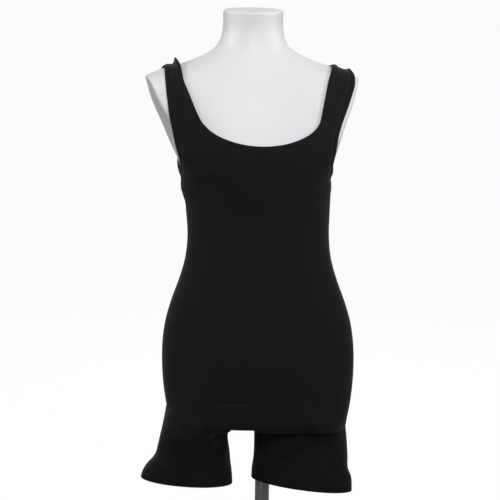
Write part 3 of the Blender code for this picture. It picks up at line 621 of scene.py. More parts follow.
@dataclass
class Cut:
    """Where the edges and seams of the garment lie on the form, from its sizes and short tables."""

    skin: FormSkin = field(default_factory=FormSkin)
    folds: Folds = field(default_factory=Folds)
    cloth: float = 1.5  # the jersey's wall, and that of a folded band
    band: float = 2.2
    clear: float = 1.7  # air between the form and the cloth
    seam: float = 0.02  # gap between two sewn pieces; a wider one shows the white form
    seam_dip: float = 0.5  # how far, and over what width, the side seams are pulled in
    seam_width: float = 4.0
    neck_band: float = 11.0  # widths of the bands and the cuffs
    arm_band: float = 9.0
    cuff: float = 30.0
    scoops: dict[Side, Scoop] = field(
        default_factory=lambda: {
            Side.FRONT: Scoop(104.0, 54.2, 885.0, 5.5),
            Side.BACK: Scoop(107.0, 42.0, 903.0, 0.0),
        }
    )
    scoop_turn: float = math.radians(65)  # the scoop ends and the straps begin here
    strap_foot: float = 12.0  # a strap's outer edge begins this far below its inner one
    strap_fade: float = 0.5  # a strap's edge has come to its table by this share of its length
    straps: dict[Side, Table] = field(
        default_factory=lambda: {
            Side.FRONT: Table(
                "drop NECK_LEFT NECK_RIGHT ARM_LEFT ARM_RIGHT",
                (
                    (0, 128.5, 138.5, 152.5, 172.5),
                    (12, 128.3, 135.6, 153.4, 173.2),
                    (30, 127.5, 133.0, 154.3, 173.5),
                    (50, 126.5, 129.3, 154.3, 172.0),
                    (75, 123.5, 122.7, 152.8, 165.5),
                    (100, 115.5, 117.8, 150.5, 158.8),
                    (121, 108.8, 113.5, 149.0, 153.0),
                    (139, 103.2, 109.5, 146.5, 148.0),
                    (149, 99.6, 107.3, 144.5, 145.2),
                    (158, 95.9, 104.0, 142.8, 142.5),
                    (172, 87.7, 96.5, 139.5, 138.0),
                ),
            ),
            Side.BACK: Table(
                "drop NECK_LEFT NECK_RIGHT ARM_LEFT ARM_RIGHT",
                (
                    (0, 128.5, 138.5, 152.5, 172.5),
                    (12, 128.3, 140.0, 153.4, 173.2),
                    (30, 127.5, 137.5, 154.3, 173.5),
                    (50, 126.5, 132.5, 154.3, 172.0),
                    (75, 122.0, 125.5, 152.8, 165.5),
                    (100, 115.5, 118.0, 150.5, 158.5),
                    (125, 108.0, 110.5, 148.5, 151.5),
                    (150, 99.5, 103.0, 144.3, 144.3),
                    (168, 92.0, 96.5, 140.5, 139.5),
                ),
            ),
        }
    )
    armholes: dict[Side, Table] = field(
        default_factory=lambda: {
            Side.FRONT: Table(
                "height LEFT RIGHT",
                ((800, 150.0, 137.5), (825, 148.0, 139.0), (853, 149.5, 144.0), (880, 154.5, 155.5)),
            ),
            Side.BACK: Table(
                "height LEFT RIGHT",
                ((800, 134.0, 145.0), (825, 137.0, 147.0), (853, 144.0, 151.0), (880, 153.5, 155.0)),
            ),
        }
    )
    # where an armhole's edge leaves its table and turns towards the side seam, and its lowest point
    arm_turn: dict[tuple[Side, Strap], float] = field(
        default_factory=lambda: {
            (Side.FRONT, Strap.LEFT): 818.0,
            (Side.FRONT, Strap.RIGHT): 800.0,
            (Side.BACK, Strap.LEFT): 806.0,
            (Side.BACK, Strap.RIGHT): 800.0,
        }
    )
    arm_low: dict[Strap, float] = field(default_factory=lambda: {Strap.LEFT: 784.0, Strap.RIGHT: 778.0})
    gusset: dict[Side, Crotch] = field(
        default_factory=lambda: {
            Side.FRONT: Crotch(-76.0, -28.5, -106.0, 389.0),
            Side.BACK: Crotch(-74.0, -26.0, 118.0, 389.0),
        }
    )
    gusset_under: Crotch = Crotch(-55.0, -15.6, 0.0, 337.5)
    hip_row: float = 361.0  # the legs' cloth leaves the form at this height at the side seams
    hip_spacing: float = 1.45  # powers that set the row's columns and its rise to the side seams
    hip_rise: float = 1.4
    # how the cloth turns in under the form, from the outer seam to the inner one
    bends: dict[Strap, Table] = field(
        default_factory=lambda: {
            Strap.LEFT: Table("across bend", ((0, 1.1), (0.45, 1.2), (0.6, 1.8), (0.75, 3.2), (1, 4.0))),
            Strap.RIGHT: Table("across bend", ((0, 1.6), (0.12, 2.6), (0.4, 4.0), (1, 4.0))),
        }
    )
    legs: dict[Strap, Table] = field(
        default_factory=lambda: {
            Strap.LEFT: Table(
                "share outer inner front back seam power",
                (
                    (0.00, -181.5, -55.0, 85, 91, -12, 2.8),
                    (0.22, -185.0, -61.5, 77.5, 84, -10, 2.6),
                    (0.50, -191.5, -58.0, 68.5, 73, -7, 2.4),
                    (0.60, -197.0, -57.0, 65.5, 69, -6, 2.35),
                    (0.68, -203.0, -56.0, 63, 66, -5, 2.3),
                    (0.85, -211.0, -54.0, 58.5, 61, -4, 2.25),
                    (1.00, -215.0, -52.6, 56, 57, -3, 2.2),
                ),
            ),
            Strap.RIGHT: Table(
                "share outer inner front back seam power",
                (
                    (0.00, 146.5, -15.6, 84, 92, 18, 2.8),
                    (0.20, 149.0, -15.2, 71, 79, 14, 2.5),
                    (0.45, 151.0, -15.2, 62.5, 67, 10, 2.4),
                    (0.68, 152.8, -16.5, 57.5, 61, 7, 2.35),
                    (0.74, 155.8, -17.4, 56, 59.5, 6, 2.3),
                    (1.00, 159.5, -19.4, 51, 54, 4, 2.2),
                ),
            ),
        }
    )
    # heights of a leg's first row at its outer seam, and of its hem at the outer and inner seams
    leg_top: dict[Strap, float] = field(default_factory=lambda: {Strap.LEFT: 310.0, Strap.RIGHT: 328.0})
    hem_sag: float = 2.0
    fold_fade: float = 0.25  # the legs' folds fade over this last share of their length
    hem: dict[Strap, tuple[float, float]] = field(
        default_factory=lambda: {Strap.LEFT: (236.0, 226.0), Strap.RIGHT: (214.0, 237.0)}
    )
    arm_row_dip: float = 14.0  # the row of points under the arms sags this much in its middle
    leg_columns: int = 11
    gusset_columns: int = 4
    arm_columns: int = 4
    arm_rows: int = 3
    strap_columns: int = 3
    strap_rows: int = 9

    @property
    def outer(self) -> float:
        """How far the jersey's outer face stands off the form."""
        return self.clear + self.cloth

    @property
    def panel_columns(self) -> int:
        """Columns from side seam to side seam in the solids' own count, which the finer nets keep to."""
        return 2 * self.leg_columns + self.gusset_columns

    def settled(self, way: Array, z: Array, side: Side, lift: float) -> Array:
        """Places that far off the form, with the cloth's small creases and its pulled-in side seams.

        Args:
            way: Ways round from the middle.
            z: Heights.
            side: Front or back.
            lift: How far off the form.

        Returns:
            The places, three values each.
        """
        spot = self.skin.body(way, z, side)
        rise = self.folds.rise(self.folds.body, side, spot[..., 0], z)
        to_seam = self.skin.girth(z, side) - np.abs(way)
        pulled = self.seam_dip * hump(to_seam, self.seam_width)
        return self.skin.lifted(self.skin.body, way, z, side, lift + rise - pulled)

    def scoop_place(self, side: Side, turn: Array, out: Array) -> tuple[Array, Array]:
        """Distance from the middle and height of the scoop's edge, or of a line outside it.

        Args:
            side: Front or back.
            turn: Angles from the scoop's lowest point.
            out: How far outside the cut edge, into the cloth.

        Returns:
            The distances and the heights.
        """
        scoop = self.scoops[side]
        x = scoop.aside + (scoop.half_width + out) * np.sin(turn)
        return x, scoop.centre - (scoop.depth + out) * np.cos(turn)

    def scoop_point(self, side: Side, turn: Array, out: Array) -> tuple[Array, Array]:
        """The same as a way round and a height."""
        x, z = self.scoop_place(side, turn, out)
        return self.skin.way_at(x, z, side), z

    def arm_way(self, strap: Strap, side: Side, z: Array) -> Array:
        """The way from the middle to the armhole's edge."""
        return self.armholes[side].read(strap.name, z)

    def underarm(self, strap: Strap, side: Side, share: Array, out: Array, gap: float) -> tuple[Array, Array]:
        """Places on the quarter ellipse from the armhole's edge, share 0, to the side seam, share 1.

        Args:
            strap: Whose armhole.
            side: Front or back.
            share: Shares of the quarter.
            out: How far outside the cut edge, into the cloth.
            gap: Half the gap at the side seam.

        Returns:
            The ways round and the heights.
        """
        quarter = share * math.pi / 2
        top, low = self.arm_turn[side, strap], self.arm_low[strap] - out
        z = top - (top - low) * np.sin(quarter)
        edge = self.arm_way(strap, side, top) - out
        return strap.value * mix(self.skin.girth(z, side) - gap, edge, np.cos(quarter)), z

    def strap_edge(
        self, strap: Strap, side: Side, share: Array, edge: Edge, out: Array, gap: float
    ) -> tuple[Array, Array]:
        """Distance from the middle and drop of a strap's edge, or of a line inside it.

        Args:
            strap: Which strap.
            side: Front or back.
            share: 0 level with the scoop's corner, 1 at the shoulder seam.
            edge: The neck's or the arm's.
            out: How far from that edge into the strap.
            gap: Half the gap at the shoulder seam.

        Returns:
            The distances and the drops.
        """
        name = f"{edge.name}_{strap.name}"
        if edge is Edge.NECK:
            x, z = self.scoop_place(side, strap.value * self.scoop_turn, out)
            x, inwards = np.abs(x), out
        else:
            z = self.scoop_place(side, self.scoop_turn, 0.0)[1] - self.strap_foot
            x = self.skin.own_x(self.arm_way(strap, side, z) - out, z, side)
            inwards = -np.asarray(out, float)
        first = self.skin.drop_at(x, z, side)
        drop = mix(first, gap, share)
        missed = x - self.straps[side].read(name, first) - inwards
        fading = 1 - eased(np.minimum(1.0, np.asarray(share, float) / self.strap_fade))
        return self.straps[side].read(name, drop) + inwards + missed * fading, drop

    def strap_spot(self, strap: Strap, side: Side, x: Array, drop: Array, lift: Any) -> Array:
        """Places on a strap, lifted off the skin and gathered towards the shoulder seam.

        Args:
            strap: Which strap.
            side: Front or back.
            x: Distances from the middle.
            drop: Distances below the shoulder seam.
            lift: How far off the form.

        Returns:
            The places, three values each.
        """
        table = self.straps[side]
        arm, neck = (table.read(f"{edge.name}_{strap.name}", drop) for edge in (Edge.ARM, Edge.NECK))
        rise = self.folds.bunch(strap, (arm - x) / (arm - neck), drop)
        return self.skin.lifted(self.skin.shoulder, strap.value * x, drop, side, lift + rise)

    def strap_place(
        self, strap: Strap, side: Side, share: Array, across: Array
    ) -> tuple[Array, Array, Array]:
        """Places on a strap between its two bands, with the distance from the middle and the height of each.

        Args:
            strap: Which strap.
            side: Front or back.
            share: 0 level with the scoop's corner, 1 at the shoulder seam.
            across: 0 at the arm's band, 1 at the neck's.

        Returns:
            The places, their distances from the middle and their heights.
        """
        out, gap = self.arm_band + self.seam, self.seam / 2
        arm_x, arm_drop = self.strap_edge(strap, side, share, Edge.ARM, out, gap)
        out = self.neck_band + self.seam
        neck_x, neck_drop = self.strap_edge(strap, side, share, Edge.NECK, out, gap)
        x, drop = mix(arm_x, neck_x, across), mix(arm_drop, neck_drop, across)
        height = self.skin.shoulder(x, drop, side)[..., 2]
        return self.strap_spot(strap, side, x, drop, self.outer), x, height

    def gusset_end(self, side: Side, strap: Strap, inset: float) -> tuple[float, float]:
        """Way and height of an end of the gusset's seam, moved inwards by inset.

        Args:
            side: Front or back.
            strap: The end on that strap's side.
            inset: How far inwards.

        Returns:
            The way round and the height.
        """
        seam = self.gusset[side]
        x = (seam.left if strap is Strap.LEFT else seam.right) - strap.value * inset
        middle = self.skin.sections.read("centre", seam.height) - seam.depth * math.sin(self.skin.turn)
        own = (x - middle) / math.cos(self.skin.turn)
        return float(self.skin.way_at(own, seam.height, side)), seam.height - inset

    def hip_point(self, at: Array, side: Side) -> tuple[Array, Array]:
        """Way and height along the row where the legs begin; at counts columns from the left seam.

        Args:
            at: Columns from the left seam, with their fractions.
            side: Front or back.

        Returns:
            The ways round and the heights.
        """
        left, right = (self.gusset_end(side, strap, -self.seam / 2) for strap in Strap)
        girth = self.skin.girth(self.hip_row, side) - self.seam / 2
        last = self.leg_columns + self.gusset_columns
        to_left = np.clip(1 - at / self.leg_columns, 0, 1) ** self.hip_spacing
        to_right = np.clip((at - last) / self.leg_columns, 0, 1) ** self.hip_spacing
        middle = np.clip((at - self.leg_columns) / self.gusset_columns, 0, 1)
        way = mix(left[0], right[0], middle) * (1 - np.maximum(to_left, to_right))
        way = way - to_left * girth + to_right * girth
        height = mix(left[1], self.hip_row, np.maximum(to_left, to_right) ** self.hip_rise)
        return way, height

    def arm_row(self, at: Array, side: Side) -> tuple[Array, Array]:
        """Way and height along the row under the arms, whose ends follow the armholes.

        Args:
            at: Columns from the left seam, with their fractions.
            side: Front or back.

        Returns:
            The ways round and the heights.
        """
        out, gap, count = self.arm_band + self.seam, self.seam / 2, self.panel_columns
        left = np.clip(1 - at / self.arm_columns, 0, 1)
        right = np.clip(1 - (count - at) / self.arm_columns, 0, 1)
        left_way, left_z = self.underarm(Strap.LEFT, side, left, out, gap)
        right_way, right_z = self.underarm(Strap.RIGHT, side, right, out, gap)
        share = np.clip((at - self.arm_columns) / (count - 2 * self.arm_columns), 0, 1)
        way, z = mix(left_way, right_way, share), mix(left_z, right_z, share)
        return way, z - self.arm_row_dip * np.sin(math.pi * share)

    def leg_ring(self, strap: Strap, side: Side, across: Array, share: Array, inset: Any) -> Array:
        """Places on a leg's outer face or inset from it.

        Args:
            strap: Whose leg.
            side: Front or back half of it.
            across: 0 at the outer seam, 1 at the inner one.
            share: 0 at the crotch, 1 at the hem.
            inset: How far inside the outer face.

        Returns:
            The places.
        """
        across, share = np.broadcast_arrays(np.asarray(across, float), np.asarray(share, float))
        table = self.legs[strap]
        outer, inner, power = (table.read(name, share) for name in ("outer", "inner", "power"))
        reach = table.read("front" if side is Side.FRONT else "back", share)
        c, s = np.cos(math.pi * across), np.abs(np.sin(math.pi * across))
        wide, deep = np.copysign(np.abs(c) ** (2 / power), c), s ** (2 / power)
        half, seam = (outer - inner) / 2, mix(table.read("seam", share), 0, across)
        x, y = (outer + inner) / 2 + half * wide, seam - side.value * reach * deep
        top = mix(self.leg_top[strap], self.gusset_under.height, across)
        z = mix(top, mix(*self.hem[strap], (1 - wide) / 2) - self.hem_sag * (1 - wide**2), share)
        aside = np.copysign(np.abs(wide) ** (power - 1), c) / half
        normal = np.stack([aside, -side.value * deep ** (power - 1) / reach, np.zeros_like(x)], axis=-1)
        normal /= np.linalg.norm(normal, axis=-1, keepdims=True)
        fading = eased(np.minimum(1.0, (1 - share) / self.fold_fade))
        rise = self.folds.rise(self.folds.legs, side, x, z) * s * fading
        return np.stack([x, y, z], axis=-1) + normal * (rise - inset)[..., None]

    def cuff_share(self, strap: Strap) -> float:
        """Where a leg's cloth ends and its cuff begins."""
        long = (self.leg_top[strap] + self.gusset_under.height - sum(self.hem[strap])) / 2
        return 1 - (self.cuff + self.seam) / long

    def turned_under(self, strap: Strap, start: Array, end: Array, share: Array, across: Array) -> Array:
        """From the body's last row to the legs' first: the cloth drops, then runs in under the form.

        Args:
            strap: Whose bends.
            start: Places on the body's last row.
            end: Places on the legs' first row.
            share: 0 at the start, 1 at the end.
            across: 0 at the outer seam, 1 at the inner one.

        Returns:
            The places, three values each.
        """
        bend = self.bends[strap].read("bend", across)
        spot = mix(start, end, (1 - (1 - share) ** bend)[..., None])
        spot[..., 1] = mix(start[..., 1], end[..., 1], share**bend)
        return spot

    def neck_line(self, out: float, lift: float, fine: int) -> Array:
        """All round the neckline, or a line that far outside it.

        Args:
            out: How far outside the cut edge, into the cloth.
            lift: How far off the form.
            fine: Steps for each of the solids' columns and rows.

        Returns:
            The closed line's places, the first of them once.
        """
        skin, runs = self.skin, []
        scoop_columns = self.panel_columns - 2 * self.arm_columns - 2 * self.strap_columns
        turns = np.linspace(-self.scoop_turn, self.scoop_turn, scoop_columns * fine + 1)[1:-1]
        along = np.linspace(0, 1, self.strap_rows * fine + 1)
        for side, strap, other in (
            (Side.FRONT, Strap.RIGHT, Side.BACK),
            (Side.BACK, Strap.LEFT, Side.FRONT),
        ):
            way, z = self.scoop_point(side, turns * side.value, out)
            runs.append(skin.lifted(skin.body, way, z, side, lift))
            for half, steps in ((side, along), (other, along[-2::-1])):
                x, drop = self.strap_edge(strap, half, steps, Edge.NECK, out, 0.0)
                runs.append(self.strap_spot(strap, half, x, drop, lift))
        return np.concatenate(runs)

    def arm_line(self, strap: Strap, out: float, lift: float, fine: int) -> Array:
        """All round an armhole, or a line that far inside the cloth, from the shoulder down the front.

        Args:
            strap: Whose armhole.
            out: How far outside the cut edge, into the cloth.
            lift: How far off the form.
            fine: Steps for each of the solids' columns and rows.

        Returns:
            The closed line's places, the first of them once.
        """
        halves = {}
        along = np.linspace(1, 0, self.strap_rows * fine + 1)
        for side in Side:
            x, drop = self.strap_edge(strap, side, along, Edge.ARM, out, 0.0)
            runs = [self.strap_spot(strap, side, x, drop, lift)]
            top = self.scoop_place(side, self.scoop_turn, 0.0)[1] - self.strap_foot
            z = np.linspace(top, self.arm_turn[side, strap], self.arm_rows * fine + 1)[1:-1]
            way = strap.value * (self.arm_way(strap, side, z) - out)
            runs.append(self.settled(way, z, side, lift))
            share = np.linspace(0, 1, self.arm_columns * fine + 1)
            way, z = self.underarm(strap, side, share, out, 0.0)
            runs.append(self.settled(way, z, side, lift))
            halves[side] = np.concatenate(runs)
        return np.concatenate([halves[Side.FRONT], halves[Side.BACK][-2:0:-1]])

    def cuff_line(self, strap: Strap, share: float, inset: float, fine: int) -> Array:
        """All round a leg at a share of its length.

        Args:
            strap: Whose leg.
            share: 0 at the crotch, 1 at the hem.
            inset: How far inside the outer face.
            fine: Steps for each of the solids' columns and rows.

        Returns:
            The closed line's places, the first of them once.
        """
        across = np.linspace(0, 1, self.leg_columns * fine + 1)
        front = self.leg_ring(strap, Side.FRONT, across, share, inset)
        back = self.leg_ring(strap, Side.BACK, across[-2:0:-1], share, inset)
        return np.concatenate([front, back])


# ---- meshes -------------------------------------------------------------------------------------
def shares(columns: int, rows: int) -> tuple[Array, Array]:
    """Shares across and along for every point of a net."""
    return np.meshgrid(np.linspace(0, 1, columns + 1), np.linspace(0, 1, rows + 1))


def add_net(mesh: bmesh.types.BMesh, net: Array) -> None:
    """Adds a grid of quads whose points are given, with a UV map at the cloth's real size in metres.

    Args:
        mesh: What it is added to.
        net: Rows of points in millimetres, shaped (rows, columns, 3).
    """
    rows, columns = net.shape[0] - 1, net.shape[1] - 1
    uv = mesh.loops.layers.uv.verify()
    # the grid's points run from -0.5 to 0.5 each way, which tells their row and column
    made = bmesh.ops.create_grid(mesh, x_segments=columns, y_segments=rows, size=0.5, calc_uvs=True)["verts"]
    for vertex in made:
        column, row = round((vertex.co.x + 0.5) * columns), round((vertex.co.y + 0.5) * rows)
        vertex.co = net[row, column] * MM
    width = np.linalg.norm(np.diff(net, axis=1), axis=-1).sum(axis=1).mean() * MM
    length = np.linalg.norm(np.diff(net, axis=0), axis=-1).sum(axis=0).mean() * MM
    for face in {face for vertex in made for face in vertex.link_faces}:
        for loop in face.loops:
            loop[uv].uv = (loop[uv].uv.x * width, loop[uv].uv.y * length)


def closed(rings: Sequence[Array]) -> Array:
    """A net from closed rings: each ring's first point is repeated at its end."""
    return np.array([np.concatenate([ring, ring[:1]]) for ring in rings])


def face_away(mesh: bmesh.types.BMesh, centre: Sequence[float]) -> None:
    """Turns all faces so that most of the surface looks away from a place, in millimetres.

    Args:
        mesh: The mesh.
        centre: The place.
    """
    mesh.normal_update()
    middle = Vector(centre) * MM
    looks = sum(f.normal.dot(f.calc_center_median() - middle) * f.calc_area() for f in mesh.faces)
    if looks < 0:
        bmesh.ops.reverse_faces(mesh, faces=mesh.faces)


def finish_piece(
    name: str,
    mesh: bmesh.types.BMesh,
    material: bpy.types.Material,
    replaces: Sequence[str] = (),
    wall: float = 0.0,
    round_edge: float = 0.0,
) -> bpy.types.Object:
    """Makes the object of a mesh, in place, and tells the frame about it.

    Args:
        name: The piece's name.
        mesh: Its mesh, which is freed.
        material: Its material.
        replaces: The solids that it stands for.
        wall: Thickness in millimetres that an open sheet gets, inwards from its outer face.
        round_edge: Radius in millimetres that its cut or folded edges get.

    Returns:
        The object.
    """
    bmesh.ops.remove_doubles(mesh, verts=mesh.verts, dist=MERGE * MM)
    data = bpy.data.meshes.new(name)
    mesh.to_mesh(data)
    mesh.free()
    data.shade_smooth()
    data.set_sharp_from_angle(angle=SHARP_FROM)
    data.materials.append(material)
    made = bpy.data.objects.new(name, data)
    bpy.context.scene.collection.objects.link(made)
    if wall:
        thick = made.modifiers.new("wall", "SOLIDIFY")
        thick.thickness = wall * MM
        thick.offset = -1.0
    if round_edge:
        soft = made.modifiers.new("soft_edge", "BEVEL")
        soft.width = round_edge * MM
        soft.segments = ROUND_STEPS
        soft.limit_method = "ANGLE"
        soft.angle_limit = ROUNDED_FROM
    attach(made, "root")
    if replaces:
        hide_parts(*replaces)
    LOG.info("%s: %d faces before its modifiers", name, len(data.polygons))
    return made


# ---- finishes -----------------------------------------------------------------------------------
def linear(colour: str) -> tuple[float, float, float, float]:
    """Turns an sRGB hex colour to linear red, green, blue and alpha.

    Args:
        colour: The colour, as a hash and six digits.

    Returns:
        The four values.
    """
    parts = [int(colour[i : i + 2], 16) / 255 for i in (1, 3, 5)]
    red, green, blue = (c / 12.92 if c <= 0.04045 else ((c + 0.055) / 1.055) ** 2.4 for c in parts)
    return red, green, blue, 1.0


def add_node(tree: bpy.types.NodeTree, kind: str, inputs: dict[Any, Any], **settings: Any) -> Any:
    """Adds a shader node.

    Args:
        tree: The material's nodes.
        kind: The node's type.
        inputs: For each socket a constant, or the output that feeds it.
        **settings: The node's own properties.

    Returns:
        The node.
    """
    made = tree.nodes.new(kind)
    for name, value in settings.items():
        setattr(made, name, value)
    for socket, value in inputs.items():
        if isinstance(value, bpy.types.NodeSocket):
            tree.links.new(value, made.inputs[socket])
        else:
            made.inputs[socket].default_value = value
    return made


def principled(name: str, inputs: dict[str, Any]) -> tuple[bpy.types.Material, bpy.types.Node]:
    """A material with one Principled shader, its constants set on the shader's own sockets.

    Args:
        name: The material's name.
        inputs: The constants by socket.

    Returns:
        The material and its shader.
    """
    made = bpy.data.materials.new(name)
    made.use_nodes = True
    shader = made.node_tree.nodes["Principled BSDF"]
    for socket, value in inputs.items():
        shader.inputs[socket].default_value = value
    return made, shader


@dataclass(frozen=True)
class JerseyKnit:
    """Cotton and elastane jersey, dyed black: matt, with a soft bloom where the pile is seen edge on."""

    name: str
    colour: str = "#131315"
    worn: str = "#1A191D"
    roughness: float = 0.92
    specular: float = 0.12
    sheen: float = 0.25
    sheen_colour: str = "#A6A3A8"
    sheen_roughness: float = 0.3
    clouds: float = 34.0  # a metre: an unevenness of the dye and the pile, about 30 mm across
    wale: float = 1.3  # width of a column of stitches and height of a stitch, in millimetres
    course: float = 1.0
    lean: float = 0.5  # how steeply a stitch's two legs run
    depth: float = 0.1
    relief: float = 0.5
    fuzz: float = 420.0  # a metre: the nap, whose tufts are about 2.4 mm apart
    fuzz_depth: float = 0.2
    fuzz_relief: float = 0.25

    def build(self) -> bpy.types.Material:
        """Makes the material; its stitches run up the cloth by its UV map.

        Returns:
            The material.
        """
        made, shader = principled(
            self.name,
            {
                "Roughness": self.roughness,
                "Sheen Weight": self.sheen,
                "Sheen Roughness": self.sheen_roughness,
                "Sheen Tint": linear(self.sheen_colour),
                "Specular IOR Level": self.specular,
            },
        )
        tree = made.node_tree
        place = add_node(tree, "ShaderNodeTexCoord", {})
        cloud = add_node(
            tree,
            "ShaderNodeTexNoise",
            {"Vector": place.outputs["Object"], "Scale": self.clouds, "Detail": 4.0},
        )
        tone = add_node(
            tree,
            "ShaderNodeMix",
            {"Factor": cloud.outputs["Fac"], "A": linear(self.colour), "B": linear(self.worn)},
            data_type="RGBA",
        )
        tree.links.new(tone.outputs["Result"], shader.inputs["Base Color"])
        height = self._stitches(tree, place.outputs["UV"])
        bump = add_node(
            tree,
            "ShaderNodeBump",
            {"Strength": self.relief, "Distance": self.depth * MM, "Height": height},
        )
        fuzz = add_node(
            tree,
            "ShaderNodeTexNoise",
            {"Vector": place.outputs["Object"], "Scale": self.fuzz, "Detail": 3.0},
        )
        nap = add_node(
            tree,
            "ShaderNodeBump",
            {
                "Strength": self.fuzz_relief,
                "Distance": self.fuzz_depth * MM,
                "Height": fuzz.outputs["Fac"],
                "Normal": bump.outputs["Normal"],
            },
        )
        tree.links.new(nap.outputs["Normal"], shader.inputs["Normal"])
        return made

    def _stitches(self, tree: bpy.types.NodeTree, uv: bpy.types.NodeSocket) -> bpy.types.NodeSocket:
        """Height of the knit's columns of V-shaped stitches; drawn a third coarser than the real gauge.

        Args:
            tree: The material's nodes.
            uv: The cloth's UV map, in metres.

        Returns:
            The socket that gives the height.
        """
        parts = add_node(tree, "ShaderNodeSeparateXYZ", {0: uv})
        wale, course = (
            add_node(
                tree, "ShaderNodeMath", {0: parts.outputs[axis], 1: 1 / (size * MM)}, operation="MULTIPLY"
            )
            for axis, size in enumerate((self.wale, self.course))
        )
        leg = add_node(tree, "ShaderNodeMath", {0: wale.outputs[0], 1: 0.5}, operation="PINGPONG")
        phase = add_node(
            tree,
            "ShaderNodeMath",
            {0: leg.outputs[0], 1: 2 * self.lean, 2: course.outputs[0]},
            operation="MULTIPLY_ADD",
        )
        turn = add_node(tree, "ShaderNodeMath", {0: phase.outputs[0], 1: math.tau}, operation="MULTIPLY")
        loops = add_node(tree, "ShaderNodeMath", {0: turn.outputs[0]}, operation="SINE")
        ribs = add_node(
            tree,
            "ShaderNodeMath",
            {0: leg.outputs[0], 1: 2.0, 2: loops.outputs[0]},
            operation="MULTIPLY_ADD",
        )
        return ribs.outputs[0]


@dataclass(frozen=True)
class SatinPlastic:
    """Glass-fibre form under white satin lacquer: even and smooth, with a broad soft gloss."""

    name: str
    colour: str = "#D9D9DC"
    shade: str = "#D5D5D8"
    roughness: float = 0.5
    coat: float = 0.05
    clouds: float = 9.0  # a metre: the lacquer's faint unevenness, about 110 mm across
    peel: float = 330.0  # a metre: its orange peel, about 3 mm across
    peel_depth: float = 0.05
    relief: float = 0.2

    def build(self) -> bpy.types.Material:
        """Makes the material.

        Returns:
            The material.
        """
        made, shader = principled(self.name, {"Roughness": self.roughness, "Coat Weight": self.coat})
        tree = made.node_tree
        place = add_node(tree, "ShaderNodeTexCoord", {})
        cloud = add_node(
            tree,
            "ShaderNodeTexNoise",
            {"Vector": place.outputs["Object"], "Scale": self.clouds, "Detail": 3.0},
        )
        tone = add_node(
            tree,
            "ShaderNodeMix",
            {"Factor": cloud.outputs["Fac"], "A": linear(self.shade), "B": linear(self.colour)},
            data_type="RGBA",
        )
        tree.links.new(tone.outputs["Result"], shader.inputs["Base Color"])
        peel = add_node(
            tree,
            "ShaderNodeTexNoise",
            {"Vector": place.outputs["Object"], "Scale": self.peel, "Detail": 1.0},
        )
        bump = add_node(
            tree,
            "ShaderNodeBump",
            {"Strength": self.relief, "Distance": self.peel_depth * MM, "Height": peel.outputs["Fac"]},
        )
        tree.links.new(bump.outputs["Normal"], shader.inputs["Normal"])
        return made


@dataclass(frozen=True)
class ChromePlate:
    """Polished steel under chrome: a bright mirror with faint wiping marks."""

    name: str
    colour: str = "#CFD0D2"
    roughness: tuple[float, float] = (0.06, 0.16)  # where it is clean, and in a wiping mark
    smears: float = 22.0  # a metre: the marks are about 45 mm across
    swirl: float = 0.6

    def build(self) -> bpy.types.Material:
        """Makes the material.

        Returns:
            The material.
        """
        made, shader = principled(self.name, {"Base Color": linear(self.colour), "Metallic": 1.0})
        tree = made.node_tree
        place = add_node(tree, "ShaderNodeTexCoord", {})
        smear = add_node(
            tree,
            "ShaderNodeTexNoise",
            {
                "Vector": place.outputs["Object"],
                "Scale": self.smears,
                "Detail": 5.0,
                "Distortion": self.swirl,
            },
        )
        rough = add_node(
            tree,
            "ShaderNodeMapRange",
            {"Value": smear.outputs["Fac"], "To Min": self.roughness[0], "To Max": self.roughness[1]},
        )
        tree.links.new(rough.outputs["Result"], shader.inputs["Roughness"])
        return made


@dataclass(frozen=True)
class SewingThread:
    """Spun polyester thread, black: a little glossier than the cloth."""

    name: str
    colour: str = "#121214"
    roughness: float = 0.7
    sheen: float = 0.05
    plies: float = 3000.0  # a metre: the thread's plies are about 0.3 mm apart
    ply_depth: float = 0.05
    relief: float = 0.4

    def build(self) -> bpy.types.Material:
        """Makes the material.

        Returns:
            The material.
        """
        made, shader = principled(
            self.name,
            {
                "Base Color": linear(self.colour),
                "Roughness": self.roughness,
                "Sheen Weight": self.sheen,
            },
        )
        tree = made.node_tree
        place = add_node(tree, "ShaderNodeTexCoord", {})
        ply = add_node(
            tree,
            "ShaderNodeTexNoise",
            {"Vector": place.outputs["Object"], "Scale": self.plies, "Detail": 1.0},
        )
        bump = add_node(
            tree,
            "ShaderNodeBump",
            {"Strength": self.relief, "Distance": self.ply_depth * MM, "Height": ply.outputs["Fac"]},
        )
        tree.links.new(bump.outputs["Normal"], shader.inputs["Normal"])
        return made


@dataclass(frozen=True)
class StudioFloor:
    """Matt white paper: it shows bright to the lens and throws back a softer light."""

    name: str
    colour: str = "#6C6C6D"
    roughness: float = 0.95
    glow: float = 0.9
    bounce: str = "#78787A"

    def build(self) -> bpy.types.Material:
        """Makes the material.

        Returns:
            The material.
        """
        made, shader = principled(self.name, {"Roughness": self.roughness})
        tree = made.node_tree
        ray = add_node(tree, "ShaderNodeLightPath", {})
        tone = add_node(
            tree,
            "ShaderNodeMix",
            {
                "Factor": ray.outputs["Is Camera Ray"],
                "A": linear(self.bounce),
                "B": linear(self.colour),
            },
            data_type="RGBA",
        )
        tree.links.new(tone.outputs["Result"], shader.inputs["Base Color"])
        shader.inputs["Emission Color"].default_value = (1, 1, 1, 1)
        glow = add_node(
            tree, "ShaderNodeMath", {0: ray.outputs["Is Camera Ray"], 1: self.glow}, operation="MULTIPLY"
        )
        tree.links.new(glow.outputs[0], shader.inputs["Emission Strength"])
        return made


